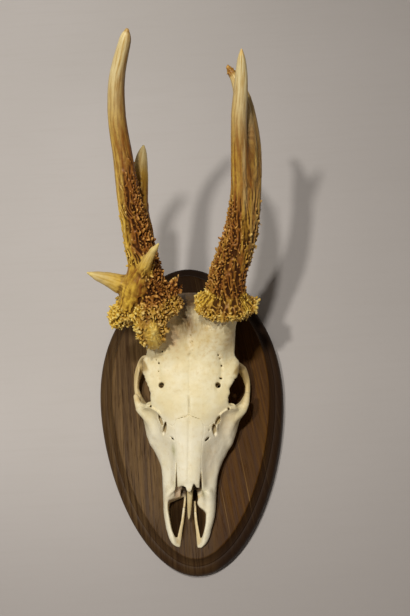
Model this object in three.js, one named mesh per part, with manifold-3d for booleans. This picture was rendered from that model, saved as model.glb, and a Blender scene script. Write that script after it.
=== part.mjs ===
// Roe deer skull with antlers, fixed to an oak shield that hangs on a wall.
//
// Millimetres, +Z up, +X to the viewer's right, +Y into the wall. The origin is
// the middle of the shield's flat back, so the shield fills y = -20 .. 0 and the
// skull and antlers stand out towards -Y. Left and right in the names are the
// animal's own: its left side is on +X.
//
// The skull has a frame of its own, used by every function below: x across,
// z along the skull from the muzzle up to the braincase, h out from the face of
// the shield. The point (x, z, h) lies at (x, -h, z) in the skull's group, which
// is fixed to the shield a little askew.

import * as THREE from "three";
import { mergeVertices } from "three/addons/utils/BufferGeometryUtils.js";
import Module from "manifold-3d";

const wasm = await Module();
wasm.setup();

// ---------------------------------------------------------------- sizes

const GAP = 0.3;                 // joint between neighbouring pieces

// shield
const BOARD_H = 246;             // height
const BOARD_HALF_W = 71.9;       // half-width term of the egg outline
const BOARD_EGG = [11.1, -1.75, -10.0, -8.2]; // how the half-width varies from top to bottom
const BOARD_T = 20;              // thickness
const BOARD_STEPS = 60;          // points round the outline
const MOULDING = [               // [inset from the outline, height over the back]
  [1.0, 0], [0, 1.2], [0, 7], [0.9, 9.8], [3.2, 12.3], [6.0, 13.0],
  [6.9, 14.1], [9.0, 15.6], [10.9, 19.3], [11.9, 20],
];
const NAIL_HOLE = { z: 78, dia: 10, depth: 12 };  // blind hole in the back, to hang by

// skull: where it sits, and its length
const SKULL_FOOT = { x: -5.75, z: -103 };  // tip of the muzzle on the shield
const SKULL_TILT = 3.95;         // degrees off the shield's own axis
const MUZZLE_END = -103.5;
const FACE_END = -66;            // maxilla / premaxilla joint
const BROW_LINE = -14;           // nasal and cheek bones / frontal joint
const OCCIPUT = 86;

// pedicles, mirrored left and right
const PEDICLE = { foot: [14, 32, 39], waist: [19.4, 43.5, 56], top: [24.6, 53.5, 70.5], r0: 12.8, r1: 11.3 };

const CORONAL = { at: [0, 62, 60], normal: [0, 0.974, -0.227] };  // frontal / braincase joint
const FORAMINA = [[-20.4, 5.6, 1.5], [20.7, 6, 1.5], [22.5, 10.8, 0.8]]; // [x, z, radius]

// orbits, mirrored left and right
const ORBIT = { x: 35.2, z: 10, h: 28.5, r: 17.2, lean: 26.5 };

// ---------------------------------------------------------------- helpers

// A smooth curve through a few control values: [position, value] pairs.
function curve(...keys) {
  const n = keys.length;
  const slope = keys.map((k, i) => {
    if (i === 0 || i === n - 1) return 0;
    const a = (k[1] - keys[i - 1][1]) / (k[0] - keys[i - 1][0]);
    const b = (keys[i + 1][1] - k[1]) / (keys[i + 1][0] - k[0]);
    return a * b <= 0 ? 0 : (2 * a * b) / (a + b);
  });
  slope[0] = (keys[1][1] - keys[0][1]) / (keys[1][0] - keys[0][0]);
  slope[n - 1] = (keys[n - 1][1] - keys[n - 2][1]) / (keys[n - 1][0] - keys[n - 2][0]);
  return (t) => {
    if (t <= keys[0][0]) return keys[0][1];
    if (t >= keys[n - 1][0]) return keys[n - 1][1];
    let i = 0;
    while (t > keys[i + 1][0]) i++;
    const d = keys[i + 1][0] - keys[i][0], u = (t - keys[i][0]) / d;
    const u2 = u * u, u3 = u2 * u;
    return (2 * u3 - 3 * u2 + 1) * keys[i][1] + (u3 - 2 * u2 + u) * d * slope[i]
      + (3 * u2 - 2 * u3) * keys[i + 1][1] + (u3 - u2) * d * slope[i + 1];
  };
}

// A repeatable pseudo-random number in 0..1 for a whole number.
const noise = (i) => { const s = Math.sin(i * 127.1 + 11.7) * 43758.5453; return s - Math.floor(s); };
const at = (x, z, h) => new THREE.Vector3(x, -h, z);

function toSolid(geometry) {
  const g = geometry.index && !geometry.attributes.normal && !geometry.attributes.uv
    ? geometry : (() => {
      const c = geometry.clone(); c.deleteAttribute("normal"); c.deleteAttribute("uv");
      return mergeVertices(c, 1e-4);
    })();
  const solid = new wasm.Manifold(new wasm.Mesh({
    numProp: 3,
    vertProperties: new Float32Array(g.attributes.position.array),
    triVerts: new Uint32Array(g.index.array),
  }));
  return solid;
}

// A closed solid through a row of closed loops with the same number of points,
// each end closed by a fan about its middle.
function loft(loops) {
  const n = loops[0].length, pos = [], tri = [];
  loops.forEach((loop) => loop.forEach((p) => pos.push(p.x, p.y, p.z)));
  for (let i = 0; i + 1 < loops.length; i++) {
    for (let j = 0; j < n; j++) {
      const a = i * n + j, b = i * n + (j + 1) % n, c = a + n, d = b + n;
      tri.push(a, b, d, a, d, c);
    }
  }
  [[0, 1], [loops.length - 1, -1]].forEach(([k, sign]) => {
    const mid = new THREE.Vector3();
    loops[k].forEach((p) => mid.addScaledVector(p, 1 / n));
    const m = pos.length / 3;
    pos.push(mid.x, mid.y, mid.z);
    for (let j = 0; j < n; j++) {
      const a = k * n + j, b = k * n + (j + 1) % n;
      if (sign > 0) tri.push(m, b, a); else tri.push(m, a, b);
    }
  });
  let six = 0;
  for (let t = 0; t < tri.length; t += 3) {
    const [a, b, c] = [0, 1, 2].map((q) => new THREE.Vector3().fromArray(pos, 3 * tri[t + q]));
    six += a.dot(b.cross(c));
  }
  if (six < 0) for (let t = 0; t < tri.length; t += 3) [tri[t], tri[t + 1]] = [tri[t + 1], tri[t]];
  const g = new THREE.BufferGeometry();
  g.setAttribute("position", new THREE.Float32BufferAttribute(pos, 3));
  g.setIndex(tri);
  return toSolid(g);
}

// A round bar of changing radius along a smooth path. radius(s, angle) with s
// from 0 to 1; flat(s) squeezes the section across `side`; both ends taper shut.
function bar(points, radius, { steps = 16, sides = 10, grow = 0, flat = () => 1, side = at(0, 1, 0) } = {}) {
  const path = new THREE.CatmullRomCurve3(points.map((p) => at(...p)), false, "centripetal");
  const loops = [];
  let u = null;
  for (let i = 0; i <= steps; i++) {
    const s = i / steps, p = path.getPoint(s), t = path.getTangent(s);
    if (!u) u = side.clone().addScaledVector(t, -side.dot(t)).normalize();
    else u.addScaledVector(t, -u.dot(t)).normalize();
    const v = t.clone().cross(u);
    loops.push(Array.from({ length: sides }, (_, j) => {
      const a = (2 * Math.PI * j) / sides, r = radius(s, a) + grow;
      return p.clone().addScaledVector(u, r * Math.cos(a) * flat(s)).addScaledVector(v, r * Math.sin(a));
    }));
    if (grow && i === 0) loops[0].forEach((q) => q.addScaledVector(t, -grow));
    if (grow && i === steps) loops[i].forEach((q) => q.addScaledVector(t, grow));
  }
  return loft(loops);
}

// A big block whose one face passes through p and faces along n.
function block(p, n, size = 400) {
  const g = new THREE.BoxGeometry(size, size, size);
  const q = new THREE.Quaternion().setFromUnitVectors(new THREE.Vector3(0, 0, 1), n.clone().normalize());
  g.applyMatrix4(new THREE.Matrix4().compose(
    p.clone().addScaledVector(n.clone().normalize(), -size / 2), q, new THREE.Vector3(1, 1, 1)));
  return toSolid(g);
}
// The part of a solid on either side of a plane, with the joint's gap left out.
const below = (solid, p, n) => solid.intersect(block(p.clone().addScaledVector(n.clone().normalize(), -GAP / 2), n));
const above = (solid, p, n) => below(solid, p, n.clone().negate());
const biggest = (solid) => solid.decompose().sort((a, b) => b.volume() - a.volume())[0];
const join = (...solids) => solids.reduce((a, b) => a.add(b));

// A straight-sided plug of an outline in (x, z), from height h0 to h1.
function plug(outline, h0, h1) {
  return loft([h0, h1].map((h) => outline.map(([x, z]) => at(x, z, h))));
}
const disc = (x, z, r, n = 12) => Array.from({ length: n }, (_, i) =>
  [x + r * Math.cos((2 * Math.PI * i) / n), z + r * Math.sin((2 * Math.PI * i) / n)]);

// ---------------------------------------------------------------- shield

function shieldOutline(inset) {
  const pts = Array.from({ length: BOARD_STEPS }, (_, i) => {
    const a = (2 * Math.PI * i) / BOARD_STEPS, c = Math.cos(a);
    const w = BOARD_EGG.reduce((sum, k, j) => sum + k * c ** (j + 1), BOARD_HALF_W);
    return new THREE.Vector2(Math.sin(a) * w, (BOARD_H / 2) * c);
  });
  return pts.map((p, i) => {
    const a = pts[(i + 1) % BOARD_STEPS], b = pts[(i + BOARD_STEPS - 1) % BOARD_STEPS];
    const n = new THREE.Vector2(a.y - b.y, b.x - a.x).normalize();
    if (n.dot(p) > 0) n.negate();
    return p.clone().addScaledVector(n, inset);
  });
}

function shield() {
  const body = loft(MOULDING.map(([inset, y]) => shieldOutline(inset).map((p) => new THREE.Vector3(p.x, -y, p.y))));
  const hole = new THREE.CylinderGeometry(NAIL_HOLE.dia / 2, NAIL_HOLE.dia / 2, NAIL_HOLE.depth * 2, 16);
  hole.translate(0, 0, NAIL_HOLE.z);
  return body.subtract(toSolid(hole));
}

// ---------------------------------------------------------------- skull core

// Named curves along the skull: heights over the shield and half-widths.
const dorsal = curve([-66, 26], [-50, 31], [-30, 37], [-12, 43], [10, 48.8], [25, 52.8], [38, 57.3], [47, 59.4], [57, 58.2], [67, 52.5], [77, 43.5], [OCCIPUT, 29]);
const browX = curve([-66, 9], [-50, 10], [-40, 12], [-30, 15], [-20, 19], [-12, 24], [-6, 27], [2, 28.9], [10, 32], [18, 35.5], [25, 36.8], [31, 31.9], [38, 30], [55, 26], [75, 20], [OCCIPUT, 12]);
const browH = curve([-66, 22.5], [-50, 26], [-30, 31], [-12, 37], [-6, 39.5], [2, 42], [10, 43.5], [18, 43.2], [25, 42], [31, 46], [38, 51], [45, 53], [55, 52], [65, 48], [75, 41], [OCCIPUT, 26]);
const underX = curve([-66, 13], [-40, 17.5], [-20, 26], [-12, 30], [-7.5, 31.5], [-5.5, 27.6], [2, 28.5], [10, 31.5], [18, 35], [25, 35], [31, 29], [45, 28], [65, 28], [OCCIPUT, 15.5]);
const underH = curve([-66, 17], [-40, 20.5], [-12, 30], [-6, 35], [2, 38.5], [10, 40], [18, 38.7], [25, 37], [38, 40], [65, 38], [OCCIPUT, 21]);
const waistX = curve([-66, 17.5], [-40, 22.5], [-20, 31.2], [-12, 33.8], [-7.5, 37], [-5.5, 22], [2, 20], [18, 20], [31, 22.5], [45, 27], [65, 29.5], [OCCIPUT, 17.5]);
const waistH = curve([-66, 12], [-40, 15], [-12, 23], [-6, 28], [2, 34], [18, 36], [31, 30], [65, 26], [OCCIPUT, 13]);
const cheekX = curve([-66, 18.7], [-50, 20.4], [-45, 22.1], [-35, 26.9], [-24, 32.1], [-11, 35.2], [-7.5, 38.2], [-5.5, 21], [2, 16], [18, 17], [31, 22.5], [45, 28], [65, 30], [OCCIPUT, 18.5]);
const cheekH = curve([-66, 8], [-40, 10], [-12, 16], [2, 15], [45, 16], [OCCIPUT, 6]);
const FOOT_H = GAP;              // the sawn base lies flat on the shield

const HALF = 8;                 // facets on each half of a section
function section(z, grow = 0) {
  const bx = browX(z), bh = browH(z), d = dorsal(z);
  const key = [[-0.5 * bx, d - 0.22 * (d - bh)], [0, d], [0.62 * bx, d - 0.28 * (d - bh)], [bx, bh],
    [underX(z), underH(z)], [waistX(z), waistH(z)], [cheekX(z), cheekH(z)], [cheekX(z) - 1.2, FOOT_H], [cheekX(z) - 4, FOOT_H - 8]];
  const spline = new THREE.CatmullRomCurve3(key.map(([x, h]) => new THREE.Vector3(x, h, 0)), false, "centripetal");
  const half = [];
  for (let i = 0; i <= HALF; i++) {
    const p = spline.getPoint((1 + (6 * i) / HALF) / (key.length - 1));
    half.push([Math.max(0, p.x), Math.max(FOOT_H, p.y)]);
  }
  half[0] = [0, d];
  half[HALF] = [cheekX(z) - 1.2, FOOT_H];
  const loop = [...half, ...half.slice(1).reverse().map(([x, h]) => [-x, h])];
  if (!grow) return loop;
  return loop.map(([x, h], i) => {
    const a = loop[(i + loop.length - 1) % loop.length], b = loop[(i + 1) % loop.length];
    let nx = b[1] - a[1], nh = a[0] - b[0];
    const l = Math.hypot(nx, nh) || 1;
    nx /= l; nh /= l;
    return [x - nx * grow, h - nh * grow];
  });
}

function core(grow = 0) {
  const stations = [FACE_END - (grow || 0.5), -58, -50, -43, -36, -29, -22, -16, -11.5, -7.6, -5.4, 0, 6, 12, 18, 23, 27, 31, 36, 43, 50, 57, 64, 71, 77, 82, OCCIPUT + grow];
  return loft(stations.map((z) => section(z, grow).map(([x, h]) => at(x, z, h))));
}

// Round arc of the eye socket's rim, from the cheek round the outside to the
// back of the brow. side is +1 on the animal's left.
function orbitRim(side, grow = 0) {
  const lean = THREE.MathUtils.degToRad(ORBIT.lean);
  const steps = 13, loops = [];
  for (let i = 0; i <= steps; i++) {
    // 0 at the front, 90 on the outside below, 180 behind
    const a = THREE.MathUtils.degToRad(-12 + (222 * i) / steps);
    const front = Math.max(0, Math.cos(a)), low = Math.max(0, Math.sin(a));
    const r = ORBIT.r + 1.1 * front * low;                      // the front corner is squarer
    const c = [-Math.cos(a) * r, Math.sin(a) * r];              // along z, down the socket
    const wide = 1.4 + 1.3 * low * low + 1.3 * front * front;   // across the rim
    const deep = 2.4 + 1.0 * low + 2.2 * front;                 // along the socket's axis
    const radial = [-Math.cos(a), Math.sin(a)];
    loops.push(Array.from({ length: 7 }, (_, j) => {
      const b = (2 * Math.PI * j) / 7;
      const out = (wide + grow) * Math.cos(b) + wide * 0.55, ax = (deep + grow) * Math.sin(b) - deep * 0.5;
      const z = c[0] + radial[0] * out, d = c[1] + radial[1] * out;
      return at(side * (ORBIT.x + d * Math.sin(lean) + ax * Math.cos(lean)), ORBIT.z + z,
        ORBIT.h - d * Math.cos(lean) + ax * Math.sin(lean));
    }));
  }
  // the cheekbone runs below the socket, deeper than it is thick
  const cheekbone = bar([[31, -20, 11], [36, -9, 11.5], [41, 1, 9.8], [42.3, 11, 9.8], [40.6, 21, 13.5]].map(([x, z, h]) => [side * x, z, h]),
    (s) => 4.9 - 2.2 * s * s + grow, { steps: 6, sides: 7, flat: () => 0.42, side: at(1, 0, 0) });
  return loft(loops).add(cheekbone);
}

function pedicle(side, grow = 0) {
  const line = [PEDICLE.foot, PEDICLE.waist, PEDICLE.top].map(([x, z, h]) => [side * x, z, h]);
  return bar(line, (s) => PEDICLE.r0 + (PEDICLE.r1 - PEDICLE.r0) * Math.min(1, 1.5 * s), { steps: 5, sides: 12, grow });
}

// ---------------------------------------------------------------- muzzle

const muzzleX = curve([-103.5, 8.2], [-101, 11.6], [-97.5, 14], [-92, 15.4], [-85, 17.2], [-78, 18.3], [-66, 18.7]);
const muzzleTop = curve([-103.5, 4.5], [-97, 6.8], [-90, 8.6], [-80, 11.4], [-73, 14.6], [-66, 21.5]);
const prongX = curve([-104, 7.4], [-92, 5.0], [-70, 2.9], [-60, 2.4]);   // inner edge of each prong
const PRONG = 2.2;               // width of each prong

// Both premaxillae before the openings are cut: side rails joined to two prongs.
function muzzle() {
  const stations = [MUZZLE_END, -102, -99.5, -96, -92, -88, -84, -80, -76, -72, -69, FACE_END + 0.5];
  return loft(stations.map((z) => {
    const w = muzzleX(z), t = muzzleTop(z), p = Math.min(t, 5.5 + 0.06 * (z + 103));
    const half = [[0, p], [prongX(z) + PRONG, p], [0.55 * w, 0.5 * (p + t)], [0.78 * w, t], [0.93 * w, 0.86 * t], [w, 0.5 * t], [w - 0.8, 0.22 * t], [w - 1.8, FOOT_H]];
    return [...half, ...half.slice(1).reverse().map(([x, h]) => [-x, h])].map(([x, h]) => at(x, z, h));
  }));
}

// The long opening between a side rail and its prong.
function incisiveOpening(side) {
  const outer = side > 0 ? curve([-97.3, 9.4], [-92, 11.2], [-81, 12.3], [-74, 11.2], [-70, 8.2])
    : curve([-97, 9.9], [-86, 13.6], [-76, 15.3], [-72, 14.6], [-70, 12.5]);
  const zs = [-96.8, -93, -88, -82, -77, -73, -70.4];
  const inner = zs.map((z) => [side * (prongX(z) + PRONG), z]);
  return plug([...inner, ...zs.slice().reverse().map((z) => [side * Math.max(outer(z), prongX(z) + PRONG + 0.7), z])], -5, 40);
}

// The gap between the two prongs, open at the tip of the muzzle.
function prongGap() {
  const zs = [-110, -104, -96, -88, -80, -72, -64];
  return plug([...zs.map((z) => [prongX(Math.max(z, -104)), z]), ...zs.slice().reverse().map((z) => [-prongX(Math.max(z, -104)), z])], -5, 40);
}

// Nose passage under the nasal bones, open to the front.
function nosePassage() {
  const stations = [-75, -66, -60, -54, -48, -42];
  return loft(stations.map((z, i) => {
    const f = 1 - 0.11 * i, w = 11.5 * f, top = dorsal(Math.max(z, -66)) - 3.2, low = 4 + 1.8 * i;
    return Array.from({ length: 12 }, (_, j) => {
      const a = (2 * Math.PI * j) / 12;
      return at(w * Math.cos(a), z, (top + low) / 2 + ((top - low) / 2) * Math.sin(a));
    });
  }));
}

const nasalX = curve([-67, 8.4], [-50, 8.7], [-34, 9.6], [-24, 10.6], [-14, 8.6], [-11, 5]);
function nasals(grow = 0) {
  const stations = [-68, -60, -52, -44, -36, -28, -20, BROW_LINE + 1];
  return loft(stations.map((z) => {
    const w = nasalX(z) + grow, top = dorsal(z) + 0.9 - (z < -66 ? 0.5 : 0), t = 3.0;
    const half = [[0, top + grow], [0.45 * w, top - 0.3 + grow], [0.82 * w, top - 1.5 + grow], [w, top - 3.1], [0.86 * w, top - 3.4 - t * 0.6 - grow], [0, top - t - 1 - grow]];
    return [...half, ...half.slice(1, -1).reverse().map(([x, h]) => [-x, h])].map(([x, h]) => at(x, z, h));
  }));
}
// The notched front edge of the two nasal bones.
function nasalNotch() {
  return plug([[-14, -75], [-14, -65.4], [-8.8, -65.2], [-4.7, -63.6], [-1.2, -65.6], [0.4, -66.4], [2.2, -65.4], [3.7, -62.8], [8.0, -62.4], [14, -62.6], [14, -75]], 5, 60);
}

// The mouth of that passage between the two premaxillae.
function noseMouth() {
  return plug([[-10.5, -74], [-14.3, -70], [-14.3, -60], [14.3, -60], [14.3, -70], [10.5, -74]], 9.5, 40);
}
// Foramina of the brow, slits in front of the orbits and beside the nasal bones.
function holesAndSlits(solid) {
  let s = solid;
  for (const [x, z, r] of FORAMINA) s = s.subtract(plug(disc(x, z, r, 8), 38, 60));
  for (const k of [-1, 1]) {
    s = s.subtract(plug([[k * 22.6, -13], [k * 19.6, -20], [k * 18.6, -27], [k * 17.9, -26], [k * 18.2, -20], [k * 21.2, -13.5]], 24, 60));
    s = s.subtract(plug([[k * 14.6, -28.4], [k * 11.2, -32.4], [k * 10.8, -31.6], [k * 13.4, -28.4]], 27, 60));
  }
  return s;
}

const VOMER = [[0.6, -44, 15], [0.7, -58, 15.5], [0.6, -66, 15], [0.3, -76, 12.5], [0.1, -85, 10]];
function vomer() {
  return bar(VOMER,
    (s) => 0.45 + 2.35 * Math.sqrt(Math.max(0, 1 - s)), { steps: 7, sides: 7, flat: () => 1.25, side: at(0, 0, 1) });
}

// The room it takes up between the two maxillae.
const vomerSeat = () => bar(VOMER.slice(0, 4), () => 3.2, { steps: 6, sides: 8, grow: GAP, flat: () => 1.2, side: at(0, 0, 1) });

// ---------------------------------------------------------------- antlers

// Each path lists [x, z, h] along the middle of the antler.
const RIGHT = {
  coronet: { at: [-27.9, 56.2, 75], axis: [-0.05, 0.68, 0.73] },
  beam: [[-27.9, 56.2, 75], [-29.8, 71.4, 90], [-35.0, 93.2, 109], [-39.7, 113.9, 127], [-42.4, 135.1, 143], [-45.0, 153.9, 161], [-43.2, 170, 181], [-36.0, 183.9, 201], [-34.4, 187.4, 205.5]],
  beamR: curve([0, 14.2], [0.1, 12], [0.28, 9.2], [0.42, 7.5], [0.56, 6.8], [0.7, 6.0], [0.84, 4.9], [0.95, 3.0], [1, 0.9]),
  rear: [[-30.5, 86, 97], [-31.5, 98, 103], [-34.6, 114, 109.5], [-34.4, 135.4, 114], [-34.2, 147, 116], [-32.7, 160, 119]],
  rearR: curve([0, 7], [0.35, 7], [0.6, 5.2], [0.8, 4.1], [0.93, 2.6], [1, 0.8]),
  front: [[-32.7, 64.4, 92], [-30.5, 69.9, 102], [-27, 73.8, 110], [-22.6, 77.5, 118], [-18.1, 80, 125]],
  frontR: curve([0, 8], [0.3, 6], [0.65, 3.9], [0.88, 2.2], [1, 0.6]),
  side: [[-33.1, 60, 80], [-41.2, 64.2, 86], [-49.2, 66.2, 91], [-56.2, 67.2, 96], [-62.8, 67.4, 101], [-68.2, 67.6, 105.5]],
  sideR: curve([0, 9.6], [0.3, 7.4], [0.55, 5.2], [0.8, 3.0], [1, 0.6]),
};
const LEFT = {
  coronet: { at: [25.6, 58, 75], axis: [0.08, 0.68, 0.73] },
  beam: [[25.6, 58, 75], [27.8, 72, 89], [34.2, 94.3, 107], [36.0, 114.9, 125], [35.5, 134.8, 143], [35.1, 152.6, 162], [36.4, 168.4, 182], [36.5, 177.3, 199]],
  beamR: curve([0, 14.2], [0.1, 13.2], [0.2, 11.8], [0.32, 8.6], [0.45, 6.6], [0.6, 5.6], [0.75, 5.0], [0.88, 3.8], [0.96, 2.4], [1, 0.6]),
  rear: [[36.5, 84, 93], [40.6, 97, 102], [43.2, 111, 112], [44.2, 126, 121], [44.8, 143, 127], [43.7, 156, 132], [41.2, 169.8, 138], [38, 180.4, 146], [32.8, 190, 153], [27.4, 196.6, 158.5]],
  rearR: curve([0, 8], [0.15, 8.4], [0.3, 7.2], [0.5, 6.4], [0.72, 4.9], [0.88, 2.8], [1, 0.5]),
};
const BURR_T = 12;               // thickness of each burr
const FORK = 0.36;               // where the lower beam ends, as a share of the beam

// Rough, pearled lower antler: lumps that fade towards the smooth upper part.
const pearled = (r, seed, from = 0.02, to = 0.5, size = 1.5) => (s, a) => {
  const fade = Math.min(1, Math.max(0, (to - s) / 0.12)) * Math.min(1, Math.max(0, (s - from + 0.05) / 0.05));
  const lump = Math.sin(3 * a + 9 * s + seed) * Math.sin(41 * s + 2 * a + seed) + 0.7 * Math.sin(5 * a - 23 * s + 2 * seed);
  return r(s) + fade * size * 0.55 * lump;
};

// A burr: a thick ring of lobes round the antler's foot. lobe(angle) gives how
// far it stands out; the angle turns from the outer side towards the shield.
function coronet({ at: c, axis }, lobe, thick, grow = 0) {
  const t = at(...axis).normalize(), o = at(...c);
  const u = new THREE.Vector3(1, 0, 0); u.addScaledVector(t, -u.dot(t)).normalize();
  const v = t.clone().cross(u);
  const sides = 20, rows = [-1, -0.75, -0.1, 0.5, 1.15, 1.85];
  const loops = rows.map((k, i) => Array.from({ length: sides }, (_, j) => {
    const a = (2 * Math.PI * j) / sides;
    const shape = [0.6, 0.90, 1.02, 0.99, 0.82, 0.62][i];
    const rough = 1 + 0.05 * Math.sin(9 * a + 2 * i) * (i > 0 ? 1 : 0) + 0.1 * (noise(31 * i + j) - 0.5);
    const r = Math.max(13, lobe(a) * shape * rough) + grow;
    const lift = k * thick(a) / 2 + Math.sign(k) * grow + 1.3 * (noise(7 * i + 3 * j) - 0.5) * (i > 0 && i < 5 ? 1 : 0);
    return o.clone().addScaledVector(u, r * Math.cos(a)).addScaledVector(v, r * Math.sin(a)).addScaledVector(t, lift);
  }));
  return loft(loops);
}

// Spurs and pearls that stand out of the lower beam on a spiral.
function pearls(path, r, count, s0, s1, size, seed) {
  const line = new THREE.CatmullRomCurve3(path.map((p) => at(...p)), false, "centripetal");
  const out = [];
  for (let i = 0; i < count; i++) {
    const s = s0 + ((s1 - s0) * (i + 0.5)) / count, p = line.getPoint(s), t = line.getTangent(s);
    const u = at(0, 1, 0).addScaledVector(t, -at(0, 1, 0).dot(t)).normalize(), v = t.clone().cross(u);
    const a = seed + 2.399963 * i + 0.5 * Math.sin(2.399963 * i), n = u.multiplyScalar(Math.cos(a)).addScaledVector(v, Math.sin(a));
    const long = size * (0.7 + 0.7 * noise(i + 17 * seed)) * (1 - 0.45 * (s - s0) / (s1 - s0));
    const g = new THREE.ConeGeometry(2.3, long + 3.4, 5);
    const q = new THREE.Quaternion().setFromUnitVectors(new THREE.Vector3(0, 1, 0), n.clone().addScaledVector(t, 0.5).normalize());
    const m = new THREE.Matrix4().compose(p.clone().addScaledVector(n, r(s) - 1.9 + long / 2), q, new THREE.Vector3(1, 1, 1));
    g.applyMatrix4(m);
    out.push(toSolid(g));
  }
  return out;
}

const lean = (a, at0, wide, gain) => gain * Math.exp(-(Math.atan2(Math.sin(a - at0), Math.cos(a - at0)) ** 2) / (2 * wide * wide));
const deg = THREE.MathUtils.degToRad;
// angles: 0 outward to +X, 90 down the front, 180 to -X, 270 behind
const leftLobe = (a) => 20.6 + 1.4 * Math.sin(5 * a + 0.6) + lean(a, deg(10), 0.5, 1.6);
const rightLobe = (a) => 18.5 + 1.1 * Math.sin(6 * a) + lean(a, deg(160), 0.3, 6) + lean(a, deg(132), 0.28, 5) + lean(a, deg(2), 0.5, 2.5);

function antlerRight() {
  const A = RIGHT;
  const foot = coronet(A.coronet, rightLobe, () => BURR_T);
  // the hanging lobe that grows down over the front of the pedicle
  const drop = bar([[-27, 47, 84], [-26, 38, 82], [-25.2, 31, 75], [-24.8, 26.5, 68]],
    (s, a) => (11.4 - 3.2 * s) * Math.sqrt(Math.max(0.05, 1 - 0.85 * s ** 4)) + 0.9 * Math.sin(4 * a + 20 * s), { steps: 6, sides: 8, flat: () => 0.62, side: at(0, 0.55, 0.83) });
  const knob = bar([[-16, 62, 78], [-11, 68, 79], [-7.6, 74, 76]], (s, a) => 7 - 3.6 * s + 0.6 * Math.sin(3 * a + 9 * s), { steps: 5, sides: 8 });
  // and a lump that stands out sideways and down from it
  const lump = bar([[-36, 54, 78], [-45, 50, 76], [-51.5, 46.5, 72]], (s, a) => 9.5 - 3.2 * s * s + 0.8 * Math.sin(3 * a + 12 * s), { steps: 4, sides: 8 });
  const make = (grow) => ({
    beam: bar(A.beam, pearled(A.beamR, 1.1), { steps: 27, sides: 10, grow }),
    rear: bar(A.rear, pearled(A.rearR, 2.3, 0, 0.45, 1.1), { steps: 12, sides: 8, grow }),
    front: bar(A.front, pearled(A.frontR, 0.4, 0, 0.3, 0.8), { steps: 8, sides: 8, grow }),
    side: bar(A.side, pearled(A.sideR, 0.9, 0, 0.3, 0.9), { steps: 9, sides: 8, grow }),
  });
  const fat = make(GAP);
  const burr = foot.add(join(drop, knob, lump).subtract(fat.side).subtract(fat.front));
  return { burr, thin: make(0), fat, knobs: pearls(A.beam, A.beamR, 18, 0.12, 0.42, 3.4, 0.7) };
}

function antlerLeft() {
  const A = LEFT;
  const burr = coronet(A.coronet, leftLobe, () => BURR_T);
  const make = (grow) => ({
    beam: bar(A.beam, pearled(A.beamR, 4.2), { steps: 27, sides: 10, grow }),
    rear: bar(A.rear, pearled(A.rearR, 3.1, 0, 0.4, 1.0), { steps: 18, sides: 8, grow }),
  });
  return { burr, thin: make(0), fat: make(GAP), knobs: pearls(A.beam, A.beamR, 20, 0.12, 0.46, 3.6, 2.1) };
}

// ---------------------------------------------------------------- assembly

const model = new THREE.Group();
const skull = new THREE.Group();
skull.rotation.y = THREE.MathUtils.degToRad(SKULL_TILT);
skull.position.set(SKULL_FOOT.x, -BOARD_T, SKULL_FOOT.z);
const inner = new THREE.Group();
inner.position.set(0, 0, -SKULL_FOOT.z);
skull.add(inner);
model.add(skull);

function add(parent, name, solid, color, roughness) {
  const m = biggest(solid).getMesh();
  const g = new THREE.BufferGeometry();
  g.setAttribute("position", new THREE.Float32BufferAttribute(Float32Array.from(m.vertProperties), 3));
  g.setIndex(Array.from(m.triVerts));
  g.computeVertexNormals();
  const mesh = new THREE.Mesh(g, new THREE.MeshStandardMaterial({ color, roughness, metalness: 0 }));
  mesh.name = name;
  parent.add(mesh);
}

const BONE = 0xe9dfc0, BONE_EDGE = 0xdfcf9c, OAK = 0x3e2a1c, BURR = 0xb07f2a, HORN = 0x9a6a2c, IVORY = 0xd8bf84;

add(model, "board", shield(), OAK, 0.45);

// Skull bones, parted along their joints. ALONG runs up the skull, ACROSS to the
// animal's left.
const ALONG = at(0, 1, 0), ACROSS = new THREE.Vector3(1, 0, 0), MIDDLE = at(0, 0, 0);
const level = (z) => at(0, z, 0);
const fatCore = core(GAP);

const tip = below(muzzle().subtract(prongGap()).subtract(incisiveOpening(1)).subtract(incisiveOpening(-1)).subtract(noseMouth()), level(FACE_END), ALONG);
add(inner, "skull_premaxilla_left", above(tip, MIDDLE, ACROSS), BONE, 0.55);
add(inner, "skull_premaxilla_right", below(tip, MIDDLE, ACROSS), BONE, 0.55);

const whole = holesAndSlits(core());
const face = above(below(whole, level(BROW_LINE), ALONG), level(FACE_END), ALONG).subtract(nasals(GAP)).subtract(nosePassage()).subtract(vomerSeat());
add(inner, "skull_maxilla_left", above(face, MIDDLE, ACROSS), BONE, 0.55);
add(inner, "skull_maxilla_right", below(face, MIDDLE, ACROSS), BONE, 0.55);
add(inner, "skull_nasals", below(nasals(), level(BROW_LINE), ALONG).subtract(nasalNotch()), BONE, 0.5);
add(inner, "skull_vomer", vomer(), BONE_EDGE, 0.6);

// The frontal bone carries both pedicles, which stop short of the burrs; the
// braincase joins it along the coronal suture.
const crown = above(whole, level(BROW_LINE), ALONG);
const burrSeats = join(coronet(LEFT.coronet, leftLobe, () => BURR_T, GAP), coronet(RIGHT.coronet, rightLobe, () => BURR_T, GAP));
add(inner, "skull_frontal", below(join(crown, pedicle(1), pedicle(-1)), at(...CORONAL.at), at(...CORONAL.normal)).subtract(burrSeats), BONE, 0.55);
add(inner, "skull_braincase", above(crown, at(...CORONAL.at), at(...CORONAL.normal)).subtract(pedicle(1, GAP)).subtract(pedicle(-1, GAP)), BONE_EDGE, 0.6);
for (const [s, side] of [[1, "left"], [-1, "right"]]) {
  add(inner, `skull_orbit_${side}`, orbitRim(s).subtract(fatCore).subtract(pedicle(s, GAP)).intersect(block(at(0, 0, FOOT_H), at(0, 0, -1))), BONE, 0.55);
}

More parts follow.
